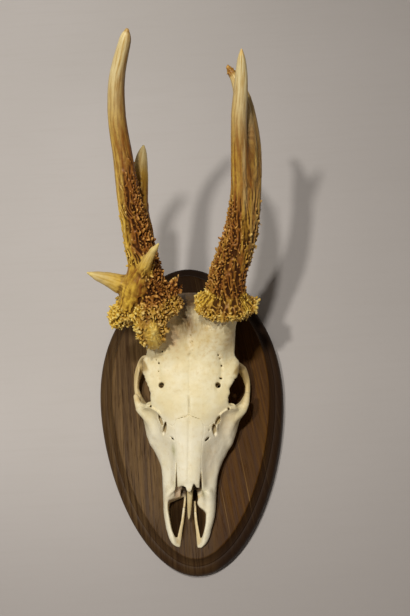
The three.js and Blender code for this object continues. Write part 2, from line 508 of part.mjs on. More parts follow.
// Antlers: each beam is parted at its fork, each tine from its beam, and the burr
// from both. The right burr's lobes are also kept clear of the bone under them.
function addAntler(side, A, S, fork, lobe) {
  const axis = at(...A.coronet.axis).normalize();
  const line = new THREE.CatmullRomCurve3(A.beam.map((p) => at(...p)), false, "centripetal");
  const p = line.getPoint(fork), n = line.getTangent(fork);
  const tines = Object.keys(S.thin).filter((k) => k !== "beam");
  const burrFat = coronet(A.coronet, lobe, () => BURR_T, GAP);
  const seat = at(...A.coronet.at).addScaledVector(axis, BURR_T * 0.78);
  let knobs = join(...S.knobs);
  for (const k of tines) knobs = knobs.subtract(S.fat[k]);
  const beam = above(join(S.thin.beam, knobs), seat, axis);
  add(inner, `antler_${side}_coronet`, below(S.burr, seat, axis), BURR, 0.6);
  add(inner, `antler_${side}_beam_lower`, below(beam, p, n), HORN, 0.5);
  add(inner, `antler_${side}_beam_upper`, above(beam, p, n), IVORY, 0.35);
  for (const k of tines) {
    let t = S.thin[k].subtract(S.fat.beam).subtract(burrFat);
    for (const o of tines) if (o < k) t = t.subtract(S.fat[o]);
    add(inner, `antler_${side}_tine_${k}`, t, k === "rear" ? HORN : IVORY, 0.4);
  }
}
const right = antlerRight();
right.burr = right.burr.subtract(pedicle(-1, GAP)).subtract(fatCore);
addAntler("left", LEFT, antlerLeft(), FORK, leftLobe);
addAntler("right", RIGHT, right, FORK, rightLobe);

export default model;
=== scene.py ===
# Roe deer skull with uneven antlers on a dark oak shield: the finish of every surface.
#
# Bone and antler are modelled as signed distance fields, in millimetres, in the
# skull's own frame: x across, z along the skull from the muzzle up to the
# braincase, h out from the face of the shield. Each bone and antler piece is then
# meshed from its own block of the field and set in place over its CAD node.
import math, time
import bpy
import numpy as np
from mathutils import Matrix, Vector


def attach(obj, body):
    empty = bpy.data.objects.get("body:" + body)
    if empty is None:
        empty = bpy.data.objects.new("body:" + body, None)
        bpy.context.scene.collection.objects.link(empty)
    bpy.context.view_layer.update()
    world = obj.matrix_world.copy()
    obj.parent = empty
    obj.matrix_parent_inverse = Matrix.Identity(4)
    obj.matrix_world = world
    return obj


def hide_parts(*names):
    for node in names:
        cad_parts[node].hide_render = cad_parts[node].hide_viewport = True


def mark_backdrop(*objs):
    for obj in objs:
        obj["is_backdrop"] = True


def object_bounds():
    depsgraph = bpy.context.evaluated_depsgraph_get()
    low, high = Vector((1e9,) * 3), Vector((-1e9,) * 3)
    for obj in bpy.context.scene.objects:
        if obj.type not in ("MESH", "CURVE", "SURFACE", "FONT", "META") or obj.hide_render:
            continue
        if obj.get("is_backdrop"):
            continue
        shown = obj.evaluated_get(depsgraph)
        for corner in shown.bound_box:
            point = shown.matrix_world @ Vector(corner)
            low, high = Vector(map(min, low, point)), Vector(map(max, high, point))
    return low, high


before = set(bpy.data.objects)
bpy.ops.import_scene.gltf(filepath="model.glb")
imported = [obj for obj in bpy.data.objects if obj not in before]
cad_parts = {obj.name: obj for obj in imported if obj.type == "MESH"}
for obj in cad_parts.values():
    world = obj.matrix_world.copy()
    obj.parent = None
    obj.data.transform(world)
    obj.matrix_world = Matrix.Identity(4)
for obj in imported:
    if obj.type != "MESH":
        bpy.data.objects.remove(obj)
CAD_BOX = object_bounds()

import openvdb as vdb
from mathutils import Matrix, Vector

T0 = time.time()
BONE_STEP = 0.60     # sampling of the bone, mm
HORN_STEP = 0.5     # sampling of the antlers, mm
F = np.float32

# ================================================================== sizes, mm
BOARD_T = 20.0
FOOT = (-5.75, -103.0)                 # tip of the muzzle on the shield
TILT = math.radians(3.95)              # the skull sits askew on the shield
FACE_END, BROW_LINE, OCCIPUT = -66.0, -14.0, 86.0
ORBIT = {1: dict(x=34.2, z=10.0, h=28.5, r=16.0, slope=0.10, dent=3.4, back=0.6),
         -1: dict(x=34.2, z=12.0, h=28.5, r=17.2, slope=0.15, dent=3.0, back=1.5)}
ORBIT_LEAN = math.radians(26.5)
CHEEK = {1: ([42.0, 4.0, 26.0], [40.3, -3.5, 26.5], [37.0, -8.6, 25.5], [32.6, -12.8, 24.5], [30.0, -17.5, 22.5], [27.5, -23, 20]),
         -1: ([41.2, 2.0, 26.0], [37.9, -6.4, 25.5], [32.2, -12.6, 24.5], [29.0, -18.0, 22.5], [26.5, -24, 20])}
PEDICLE = ([14, 32, 39], [19.4, 43.5, 56], [24.6, 53.5, 70.5])


def to_world(p):
    """Points of the skull's frame (x, z, h), mm, in the row frame, metres."""
    x, z, h = p[:, 0], p[:, 1] + 103.0, p[:, 2]
    c, s = math.cos(TILT), math.sin(TILT)
    return np.stack([FOOT[0] + x * c + z * s, -(BOARD_T + h), FOOT[1] - x * s + z * c], 1) * 1e-3


# ================================================================== curves
def curve(*keys):
    """A smooth curve through (position, value) pairs that doesn't overshoot."""
    t, v = (np.array(c, float) for c in zip(*keys))
    dt, dv = np.diff(t), np.diff(v) / np.diff(t)
    m = np.zeros(len(t))
    m[0], m[-1] = dv[0], dv[-1]
    for i in range(1, len(t) - 1):
        a, b = dv[i - 1], dv[i]
        m[i] = 0 if a * b <= 0 else 2 * a * b / (a + b)

    def f(q):
        q = np.clip(np.asarray(q, float), t[0], t[-1])
        i = np.clip(np.searchsorted(t, q, side="right") - 1, 0, len(t) - 2)
        d = dt[i]
        u = (q - t[i]) / d
        u2, u3 = u * u, u * u * u
        return ((2 * u3 - 3 * u2 + 1) * v[i] + (u3 - 2 * u2 + u) * d * m[i]
                + (3 * u2 - 2 * u3) * v[i + 1] + (u3 - u2) * d * m[i + 1])
    return f


def spline(points, u):
    """Centripetal Catmull-Rom curve through the points, at u from 0 to n - 1."""
    p = np.asarray(points, float)
    n = len(p)
    u = np.clip(np.asarray(u, float), 0, n - 1)
    p = np.vstack([2 * p[0] - p[1], p, 2 * p[-1] - p[-2]])
    i = np.clip(np.floor(u).astype(int), 0, n - 2)
    w = (u - i)[:, None]
    a, b, c, d = p[i], p[i + 1], p[i + 2], p[i + 3]
    gap = lambda q, r: np.maximum(np.sum((q - r) ** 2, -1) ** 0.25, 1e-4)[:, None]
    t0, t1, t2 = gap(a, b), gap(b, c), gap(c, d)
    m1 = ((b - a) / t0 - (c - a) / (t0 + t1) + (c - b) / t1) * t1
    m2 = ((c - b) / t1 - (d - b) / (t1 + t2) + (d - c) / t2) * t1
    return b + m1 * w + (3 * c - 3 * b - 2 * m1 - m2) * w ** 2 + (2 * b - 2 * c + m1 + m2) * w ** 3


def smooth(a, b, t):
    t = np.clip((t - a) / (b - a), 0, 1)
    return t * t * (3 - 2 * t)


# ================================================================== noise
_table = np.random.default_rng(7).random((64, 64, 64), dtype=np.float32)


def noise3(x, z, h, size, seed=0):
    """Smooth noise, 0 to 1, with lumps about `size` mm across. Arrays broadcast."""
    x, z, h = np.broadcast_arrays(x / size + 17.3 * seed, z / size + 5.1 * seed, h / size + 9.7 * seed)
    ix, iz, ih = np.floor(x), np.floor(z), np.floor(h)
    fx, fz, fh = x - ix, z - iz, h - ih
    fx, fz, fh = (f * f * (3 - 2 * f) for f in (fx, fz, fh))
    ix, iz, ih = (i.astype(np.int64) for i in (ix, iz, ih))
    out = 0
    for a in (0, 1):
        for b in (0, 1):
            for c in (0, 1):
                w = (fx if a else 1 - fx) * (fz if b else 1 - fz) * (fh if c else 1 - fh)
                out = out + w * _table[(ix + a) & 63, (iz + b) & 63, (ih + c) & 63]
    return out.astype(F)


def noise_wrap(u, v, cells, seed=0):
    """Smooth noise, 0 to 1, over v, and over u from 0 to 1, where it joins up after `cells` lumps."""
    u = (u % 1.0) * cells
    iu, iv = np.floor(u), np.floor(v + 31.7 * seed)
    fu, fv = u - iu, v + 31.7 * seed - iv
    fu, fv = fu * fu * (3 - 2 * fu), fv * fv * (3 - 2 * fv)
    iu, iv = iu.astype(np.int64), iv.astype(np.int64)
    t = _table[seed % 64]
    g = lambda a, b: t[(iu + a) % cells % 64, (iv + b) & 63]
    return ((g(0, 0) * (1 - fu) + g(1, 0) * fu) * (1 - fv) + (g(0, 1) * (1 - fu) + g(1, 1) * fu) * fv).astype(F)


# ================================================================== fields
def smin(a, b, k):
    q = np.maximum(k - np.abs(a - b), 0)
    return np.minimum(a, b) - q * q / (4 * k)


def smax(a, b, k):
    q = np.maximum(k - np.abs(a - b), 0)
    return np.maximum(a, b) + q * q / (4 * k)


class Block:
    """A block of space in the skull's frame, sampled every `step` mm."""

    def __init__(self, lo, hi, step, far=6.0):
        self.lo, self.step = np.array(lo, float), step
        self.n = [int(math.ceil((b - a) / step)) + 1 for a, b in zip(lo, hi)]
        ax = [(a + step * np.arange(k)).astype(F) for a, k in zip(lo, self.n)]
        self.ax = ax
        self.x, self.z, self.h = ax[0][:, None, None], ax[1][None, :, None], ax[2][None, None, :]
        self.d = np.full(self.n, far, F)

    def near(self, lo, hi):
        """Index slices of the part between two corners, or None, and its coordinates."""
        s = []
        for k in range(3):
            a = int(math.floor((lo[k] - self.lo[k]) / self.step))
            b = int(math.ceil((hi[k] - self.lo[k]) / self.step)) + 1
            a, b = max(0, a), min(self.n[k], b)
            if b - a < 1:
                return None
            s.append(slice(a, b))
        return tuple(s), self.ax[0][s[0], None, None], self.ax[1][None, s[1], None], self.ax[2][None, None, s[2]]

    def sample(self, arr, p):
        """arr at points p, mm."""
        q = (p - self.lo) / self.step
        q = np.clip(q, 0, np.array(self.n) - 1.001)
        i = np.floor(q).astype(np.int64)
        f = (q - i).astype(F)
        out = 0
        for a in (0, 1):
            for b in (0, 1):
                for c in (0, 1):
                    w = (f[:, 0] if a else 1 - f[:, 0]) * (f[:, 1] if b else 1 - f[:, 1]) * (f[:, 2] if c else 1 - f[:, 2])
                    out = out + w * arr[i[:, 0] + a, i[:, 1] + b, i[:, 2] + c]
        return out

    def blur(self, arr, sigma):
        """arr softened by a bell curve of `sigma` mm."""
        s = sigma / self.step
        r = max(1, int(math.ceil(2.2 * s)))
        w = np.exp(-0.5 * (np.arange(-r, r + 1) / s) ** 2)
        w = (w / w.sum()).astype(F)
        for axis in range(3):
            pad = [(0, 0)] * 3
            pad[axis] = (r, r)
            p = np.pad(arr, pad, mode="edge")
            out = np.zeros_like(arr)
            for k in range(2 * r + 1):
                sl = [slice(None)] * 3
                sl[axis] = slice(k, k + arr.shape[axis])
                out += w[k] * p[tuple(sl)]
            arr = out
        return arr


def put(b, lo, hi, make, k=0.0, how="add"):
    """Adds or digs the shape make(x, z, h) within a box of the block."""
    got = b.near(lo, hi)
    if got is None:
        return
    s, x, z, h = got
    v = make(x, z, h)
    d = b.d[s]
    if how == "add":
        b.d[s] = smin(d, v, k) if k > 0 else np.minimum(d, v)
    else:
        b.d[s] = smax(d, -v, k) if k > 0 else np.maximum(d, -v)


def capsule(p, q, r0, r1):
    p, q = np.asarray(p, float), np.asarray(q, float)
    e = (q - p).astype(F)
    ll = max(float(e @ e), 1e-6)

    def f(x, z, h):
        t = np.clip(((x - F(p[0])) * e[0] + (z - F(p[1])) * e[1] + (h - F(p[2])) * e[2]) / F(ll), 0, 1)
        dx, dz, dh = x - F(p[0]) - t * e[0], z - F(p[1]) - t * e[1], h - F(p[2]) - t * e[2]
        return np.sqrt(dx * dx + dz * dz + dh * dh) - (r0 + (r1 - r0) * t)
    m = max(r0, r1) + 3.0
    return np.minimum(p, q) - m, np.maximum(p, q) + m, f


def polygonise(b, d, keep=1, least=0.0):
    """Points (mm) and quads of the surface d = 0, its largest parts only."""
    step = b.step
    arr = np.ascontiguousarray(np.clip(d, -3 * step, 3 * step) / step, F)
    grid = vdb.FloatGrid(3.0)
    grid.copyFromArray(arr, tolerance=0.0)
    pts, quads = grid.convertToQuads(isovalue=0.0)
    pts, quads = np.asarray(pts, float), np.asarray(quads, np.int64)
    p = pts * step + b.lo
    # one step onto the exact surface
    v = b.sample(d, p)
    g = gradient(b, d, p)
    p = p - g * np.clip(v, -0.35 * step, 0.35 * step)[:, None]
    # parts
    label = np.arange(len(p))
    e = np.concatenate([quads[:, [0, 1]], quads[:, [1, 2]], quads[:, [2, 3]]])
    while True:
        m = np.minimum(label[e[:, 0]], label[e[:, 1]])
        new = label.copy()
        np.minimum.at(new, e[:, 0], m)
        np.minimum.at(new, e[:, 1], m)
        new = new[new]
        new = new[new]
        if (new == label).all():
            break
        label = new
    ids, count = np.unique(label[quads[:, 0]], return_counts=True)
    order = np.argsort(-count)
    good = [ids[o] for i, o in enumerate(order) if i < keep and count[o] >= least * count[order[0]]]
    q = quads[np.isin(label[quads[:, 0]], good)]
    used = np.unique(q)
    back = np.full(len(p), -1)
    back[used] = np.arange(len(used))
    p, q = p[used], back[q]
    # faces turn outwards
    a, c, e2, f2 = (p[q[:, k]] for k in range(4))
    vol = np.einsum("ij,ij->i", a, np.cross(c, e2)).sum() + np.einsum("ij,ij->i", a, np.cross(e2, f2)).sum()
    if vol < 0:
        q = q[:, ::-1]
    return p, q


def gradient(b, d, p):
    e = 0.6 * b.step
    g = np.stack([b.sample(d, p + np.eye(3)[k] * e) - b.sample(d, p - np.eye(3)[k] * e) for k in range(3)], 1)
    return g / np.maximum(np.linalg.norm(g, axis=1, keepdims=True), 1e-6)


def mesh_object(name, points, faces, attributes=None, material=None, shade=True):
    """A mesh object from arrays: points in metres, quads or triangles."""
    me = bpy.data.meshes.new(name)
    n, k = faces.shape
    me.vertices.add(len(points))
    me.vertices.foreach_set("co", points.astype(F).ravel())
    me.loops.add(n * k)
    me.loops.foreach_set("vertex_index", faces.astype(np.int32).ravel())
    me.polygons.add(n)
    me.polygons.foreach_set("loop_start", (np.arange(n) * k).astype(np.int32))
    me.polygons.foreach_set("loop_total", np.full(n, k, np.int32))
    me.update(calc_edges=True)
    me.validate()
    if shade:
        me.polygons.foreach_set("use_smooth", np.ones(len(me.polygons), bool))
    for key, value in (attributes or {}).items():
        at = me.attributes.new(key, "FLOAT", "POINT")
        at.data.foreach_set("value", np.ascontiguousarray(value, F))
    o = bpy.data.objects.new(name, me)
    bpy.context.scene.collection.objects.link(o)
    if material:
        me.materials.append(material)
    return o


PIECES = []


def finish_piece(o, nodes):
    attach(o, "root")
    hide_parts(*nodes)
    PIECES.append(o)
    print("%-26s %7d faces  %.1f s" % (o.name, len(o.data.polygons), time.time() - T0))


# ================================================================== skull: named curves
dorsal = curve((-66, 26), (-50, 31), (-30, 37), (-12, 43), (10, 48.8), (25, 52.8), (38, 57.3), (47, 59.4), (57, 58.2), (67, 52.5), (77, 43.5), (86, 29))
browX = curve((-66, 9), (-50, 10), (-40, 12), (-30, 15), (-20, 19), (-12, 24), (-6, 27), (2, 28.9), (10, 32), (18, 34.6), (24, 35.0), (31, 31.6), (38, 30), (55, 26), (75, 20), (86, 12))
browH = curve((-66, 22.5), (-50, 26), (-30, 31), (-12, 37), (-6, 39.5), (2, 42), (10, 43.5), (18, 43.2), (25, 42), (31, 46), (38, 51), (45, 53), (55, 52), (65, 48), (75, 41), (86, 26))
underX = curve((-66, 13), (-40, 17.5), (-20, 26), (-12, 30), (-7.5, 31.5), (-5.5, 27.6), (2, 28.5), (10, 31.5), (18, 35), (25, 35), (31, 29), (45, 28), (65, 28), (86, 15.5))
underH = curve((-66, 17), (-40, 20.5), (-12, 30), (-6, 35), (2, 38.5), (10, 40), (18, 38.7), (25, 37), (38, 40), (65, 38), (86, 21))
waistX = curve((-66, 17.5), (-40, 22.5), (-20, 31.2), (-12, 33.8), (-7.5, 37), (-5.5, 22), (2, 20), (18, 20), (31, 22.5), (45, 27), (65, 29.5), (86, 17.5))
waistH = curve((-66, 12), (-40, 15), (-12, 23), (-6, 28), (2, 34), (18, 36), (31, 30), (65, 26), (86, 13))
cheekX = curve((-66, 18.7), (-50, 20.4), (-45, 22.1), (-35, 26.9), (-24, 32.1), (-11, 35.2), (-7.5, 38.2), (-5.5, 21), (2, 16), (18, 17), (31, 22.5), (45, 28), (65, 30), (86, 18.5))
cheekH = curve((-66, 8), (-40, 10), (-12, 16), (2, 15), (45, 16), (86, 6))
muzzleX = curve((-103.5, 9.4), (-101, 12.0), (-97.5, 14), (-92, 15.4), (-85, 17.2), (-78, 18.3), (-66, 18.7))
muzzleTop = curve((-103.5, 4.5), (-97, 6.8), (-90, 8.6), (-80, 11.4), (-73, 14.6), (-66, 21.5))
prongX = curve((-104, 6.2), (-99, 5.6), (-92, 4.9), (-85, 3.9), (-72, 2.9), (-60, 2.4))
nasalX = curve((-67, 8.4), (-50, 8.7), (-34, 9.6), (-24, 10.6), (-19, 9.6), (-15.6, 0.5), (-11, 0.1))
BASE_H = 0.3
prongW = curve((-104, 3.2), (-96, 2.8), (-92, 2.4), (-85, 2.0), (-74, 1.7), (-60, 1.2))


def core_outline(z):
    bx, bh, d = float(browX(z)), float(browH(z)), float(dorsal(z))
    key = [[-0.5 * bx, d - 0.22 * (d - bh)], [0, d], [0.62 * bx, d - 0.28 * (d - bh)], [bx, bh], [float(underX(z)), float(underH(z))],
           [float(waistX(z)), float(waistH(z))], [float(cheekX(z)), float(cheekH(z))], [float(cheekX(z)) - 1.2, BASE_H], [float(cheekX(z)) - 4, BASE_H - 8]]
    p = spline(key, 1 + 6 * np.arange(31) / 30)
    p[:, 0] = np.maximum(p[:, 0], 0)
    p[0] = (0, d)
    return np.vstack([p, [[p[-1, 0], -8]]])


def muzzle_outline(z):
    w, t = float(muzzleX(z)), float(muzzleTop(z))
    p = min(t, 5.5 + 0.06 * (z + 103))
    key = [[0, p], [float(prongX(z)) + float(prongW(z)), p], [0.55 * w, 0.5 * (p + t)], [0.78 * w, t], [0.93 * w, 0.86 * t], [w, 0.5 * t], [w - 0.8, 0.22 * t], [w - 1.8, BASE_H]]
    q = spline(key, 7 * np.arange(31) / 30)
    q[:, 0] = np.maximum(q[:, 0], 0)
    q[0] = (0, p)
    return np.vstack([q, [[q[-1, 0], -8]]])


def outline_distance(xs, hs, poly):
    """Signed distance in one cross-section, on x >= 0, to the outline of the bone."""
    a, b = poly[:-1].astype(F), poly[1:].astype(F)
    e = b - a
    ll = np.maximum((e ** 2).sum(1), 1e-9)
    X, H = xs[:, None], hs[None, :]
    best = np.full((len(xs), len(hs)), 1e9, F)
    inside = np.zeros(best.shape, bool)
    for i in range(len(a)):
        t = np.clip(((X - a[i, 0]) * e[i, 0] + (H - a[i, 1]) * e[i, 1]) / ll[i], 0, 1)
        dx, dh = X - a[i, 0] - t * e[i, 0], H - a[i, 1] - t * e[i, 1]
        np.minimum(best, dx * dx + dh * dh, out=best)
        rows = (a[i, 1] > hs) != (b[i, 1] > hs)
        if rows.any():
            at = a[i, 0] + (hs[rows] - a[i, 1]) * e[i, 0] / (e[i, 1] if abs(e[i, 1]) > 1e-9 else 1e-9)
            inside[:, rows] ^= X < at[None, :]
    d = np.sqrt(best)
    return np.where(inside, -d, d)


def tube(b, points, radius, k=0.0, steps=24, flat=1.0, side=(1, 0, 0), margin=4.0, into=None, params=None):
    """Adds a bar of changing radius along a smooth path. With flat < 1 it is thinner along `side`."""
    n = len(points)
    s = np.linspace(0, 1, steps + 1)
    p = spline(points, s * (n - 1))
    r = np.asarray(radius(s), float)
    side = np.asarray(side, float)
    out = np.full(b.n, 6.0, F) if into is None else into
    for i in range(steps):
        lo = np.minimum(p[i], p[i + 1]) - max(r[i], r[i + 1]) - margin
        hi = np.maximum(p[i], p[i + 1]) + max(r[i], r[i + 1]) + margin
        got = b.near(lo, hi)
        if got is None:
            continue
        sl, x, z, h = got
        e = p[i + 1] - p[i]
        ll = float(e @ e)
        t = ((x - p[i][0]) * e[0] + (z - p[i][1]) * e[1] + (h - p[i][2]) * e[2]) / ll
        t = np.clip(t, 0, 1).astype(F)
        dx, dz, dh = x - F(p[i][0]) - t * F(e[0]), z - F(p[i][1]) - t * F(e[1]), h - F(p[i][2]) - t * F(e[2])
        if flat != 1.0:
            m = dx * F(side[0]) + dz * F(side[1]) + dh * F(side[2])
            q = m * F(1 / flat - 1)
            dx, dz, dh = dx + q * F(side[0]), dz + q * F(side[1]), dh + q * F(side[2])
        v = np.sqrt(dx * dx + dz * dz + dh * dh) - (F(r[i]) + t * F(r[i + 1] - r[i]))
        if flat != 1.0:
            v = v * F(0.5 + 0.5 * flat)
        cur = out[sl]
        if params is not None:
            better = v < cur
            params[sl][better] = ((i + t) / steps)[better]
        out[sl] = np.minimum(cur, v)
    if into is None:
        b.d = smin(b.d, out, k) if k > 0 else np.minimum(b.d, out)
    return out


def path_distance(x, z, path):
    """Distance in the (x, z) plane to a bent line, and how far along it, 0 to 1."""
    best, along = None, None
    n = len(path) - 1
    for i in range(n):
        (ax, az), (bx, bz) = path[i], path[i + 1]
        ex, ez = bx - ax, bz - az
        t = np.clip(((x - ax) * ex + (z - az) * ez) / max(ex * ex + ez * ez, 1e-9), 0, 1)
        d = np.sqrt((x - ax - t * ex) ** 2 + (z - az - t * ez) ** 2)
        if best is None:
            best, along = d, (i + t) / n
        else:
            along = np.where(d < best, (i + t) / n, along)
            best = np.minimum(best, d)
    return best, along


def smooth_path(path, n=4):
    p = spline([(a, b, 0) for a, b in path], np.linspace(0, len(path) - 1, n * (len(path) - 1) + 1))
    return [(q[0], q[1]) for q in p]


# Lines cut into, or raised on, the top of the skull: path, half-width, depth (mm, minus is raised)
LINES = [
    (smooth_path([(0.3, -15.8), (0.3, -11), (0.0, -6), (-0.2, -1.9)]), 0.55, 0.75),         # open end of the midline suture
    (smooth_path([(-0.2, -1.9), (0.2, 4), (-0.3, 12), (0.1, 22), (-0.3, 34)]), 0.5, 0.16),
    (smooth_path([(0.3, -15.8), (0.2, -30), (0.0, -48), (0.2, -66)]), 0.9, 0.42),            # between the nasals
    (smooth_path([(-19.2, 30), (-20.2, 25), (-22.4, 20), (-22.3, 13), (-20.6, 6), (-19.4, 1)]), 1.5, 0.45),
    (smooth_path([(20.2, 29), (21.8, 24), (23.0, 18), (22.4, 11), (20.7, 6), (19.6, 1)]), 1.5, 0.45),
    (smooth_path([(-35.5, -8.6), (-29, -9.6), (-25.2, -11.6), (-22.1, -14.4), (-20.9, -18.7), (-20.2, -26.0)]), 0.85, -1.25),
    (smooth_path([(36.0, -8.8), (29.5, -9.6), (25.5, -11.8), (22.4, -15.0), (20.4, -20.4), (19.9, -26.0)]), 0.85, -1.25),
    (smooth_path([(-12.2, -33), (-12.4, -42), (-13.2, -54), (-14.8, -64)]), 2.6, 0.5),       # shallow troughs beside the nasals
    (smooth_path([(12.2, -33), (12.4, -42), (13.2, -54), (14.8, -64)]), 2.6, 0.5),
    (smooth_path([(-38, -12), (-32.5, -20), (-27, -32), (-22.6, -43)]), 2.2, -0.5),          # crest along the cheek
    (smooth_path([(38, -12), (32.5, -20), (27, -32), (22.6, -43)]), 2.2, -0.5),
    (smooth_path([(-15, 44), (-9, 36), (-4, 29), (0, 26)]), 3.5, -0.5),                       # fan of the pedicles on the brow
    (smooth_path([(15, 44), (9, 36), (4, 29), (0, 26)]), 3.5, -0.5),
]
HOLLOWS = [  # shallow dents: x, z, half-sizes, depth
    (-26.6, -19.5, 3.6, 8.5, 1.5), (26.6, -19.5, 3.6, 8.5, 1.7), (-24.5, 8, 6, 11, 0.9), (24.5, 8, 6, 11, 0.9),
    (0, 10, 10, 14, 0.5), (-15.5, -36, 3.2, 7, 0.4), (15.5, -36, 3.2, 7, 0.5), (0, 47, 4.5, 9, 1.6),
    (-30, 27, 5, 6, 0.8), (30, 27, 5, 6, 0.8),
]
SLITS = [    # openings through the thin bone: path, half-width, top and bottom heights
    ([(-22.4, -14.6), (-20.9, -17.6), (-19.7, -21.2)], 0.95, 31.0, 44),
    ([(-17.3, -19.6), (-17.8, -23.5), (-18.9, -27.2)], 1.2, 28.5, 44),
    ([(21.9, -15.0), (20.6, -17.8), (19.3, -20.2)], 1.25, 31.0, 44),
    ([(17.9, -20.4), (18.0, -23.6), (18.9, -27.6)], 1.4, 28.5, 44),
    ([(-13.5, -29.6), (-12.0, -30.6), (-10.7, -32.2)], 0.42, 27, 44),
    ([(14.4, -29.1), (13.0, -30.6), (11.6, -32.3)], 0.62, 27, 44),
]
HOLES = [    # round holes: x, z, radius across, radius along
    (-20.4, 5.6, 1.95, 1.95), (20.7, 6.0, 1.9, 1.9), (22.6, 10.9, 1.15, 0.65), (-28.5, -8.0, 0.8, 1.1), (28.4, -9.2, 0.8, 1.0),
    (-22.5, 21.1, 0.55, 0.8), (-19.7, 28.0, 0.5, 0.7), (20.7, 26.2, 0.5, 0.7), (22.0, 24.2, 0.5, 0.5), (23.0, 19.8, 0.6, 0.8),
    (-24.6, 23.5, 0.5, 0.5), (-22.6, 15.5, 0.4, 0.5), (14.6, -24.5, 0.35, 0.9), (13.0, -90.3, 0.5, 0.8),
]
FINE_PITS = [  # clusters of pores: x, z, spread across, along, how many, largest radius
    (1.0, 36, 2.0, 9, 26, 0.4), (18, 44, 9, 4, 34, 0.4), (-9, 42, 5, 5, 18, 0.38), (0, 66, 10, 10, 30, 0.4), (14, 33, 9, 6, 18, 0.32),
]


def orbit_ring(x, z, h, side):
    """Distance to the round rim of an eye socket, from its front round the outside to the brow."""
    o, lean = ORBIT[side], ORBIT_LEAN
    w, zc = h - o["h"], z - o["z"]
    q = side * x - o["x"] - o["slope"] * zc
    dd = q * math.sin(lean) - w * math.cos(lean)
    ax = q * math.cos(lean) + w * math.sin(lean)
    rho = np.sqrt(zc * zc + dd * dd)
    a = np.arctan2(dd, -zc + 0 * dd)
    a = np.where(a < math.radians(-81), a + 2 * math.pi, a)
    front, low, rear = np.maximum(0, np.cos(a)), np.maximum(0, np.sin(a)), np.maximum(0, -np.cos(a))
    r = o["r"] + (1.1 - o["dent"]) * front * low + o["back"] * rear ** 2 + 0.25 * np.sin(5 * a + side)
    notch = np.exp(-((a - math.radians(103)) / 0.045) ** 2)
    outer = r + 1.55 * (1.4 + 1.3 * low ** 2 + 1.3 * front ** 2)
    face = 0.5 * (2.4 + 1.0 * low + 2.2 * front)
    wide = 1.35 + 0.25 * low ** 2 + 1.35 * front ** 2 + 0.5 * rear - 0.35 * notch
    deep = 2.4 - 0.95 * low ** 2 + 2.2 * front + 1.3 * rear - 0.4 * notch
    u, v = (rho - outer + wide + 0.5 * notch) / wide, (ax - face + deep) / deep
    k0 = np.sqrt(u * u + v * v)
    k1 = np.sqrt((u / wide) ** 2 + (v / deep) ** 2)
    d = k0 * (k0 - 1) / np.maximum(k1, 1e-5)
    over = np.maximum(0, np.maximum(a - math.radians(212), math.radians(-14) - a)) * rho
    return np.where(over > 0, np.sqrt(np.maximum(d, 0) ** 2 + over ** 2), d).astype(F)


def relief(x, z):
    """How far the top of the skull is lowered by its lines and dents, over (x, z)."""
    out = np.zeros(np.broadcast(x, z).shape, F)
    for path, half, depth in LINES:
        ps = np.array(path)
        m = 4 * half
        if ps[:, 0].max() + m < x.min() or ps[:, 0].min() - m > x.max():
            continue
        d, t = path_distance(x, z, path)
        out += depth * np.exp(-(d / half) ** 2) * smooth(0, 0.12, t) ** 0.5 * smooth(1.0, 0.88, t) ** 0.5
    for cx, cz, rx, rz, depth in HOLLOWS:
        out += depth * np.exp(-((x - cx) / rx) ** 2 - ((z - cz) / rz) ** 2)
    return out


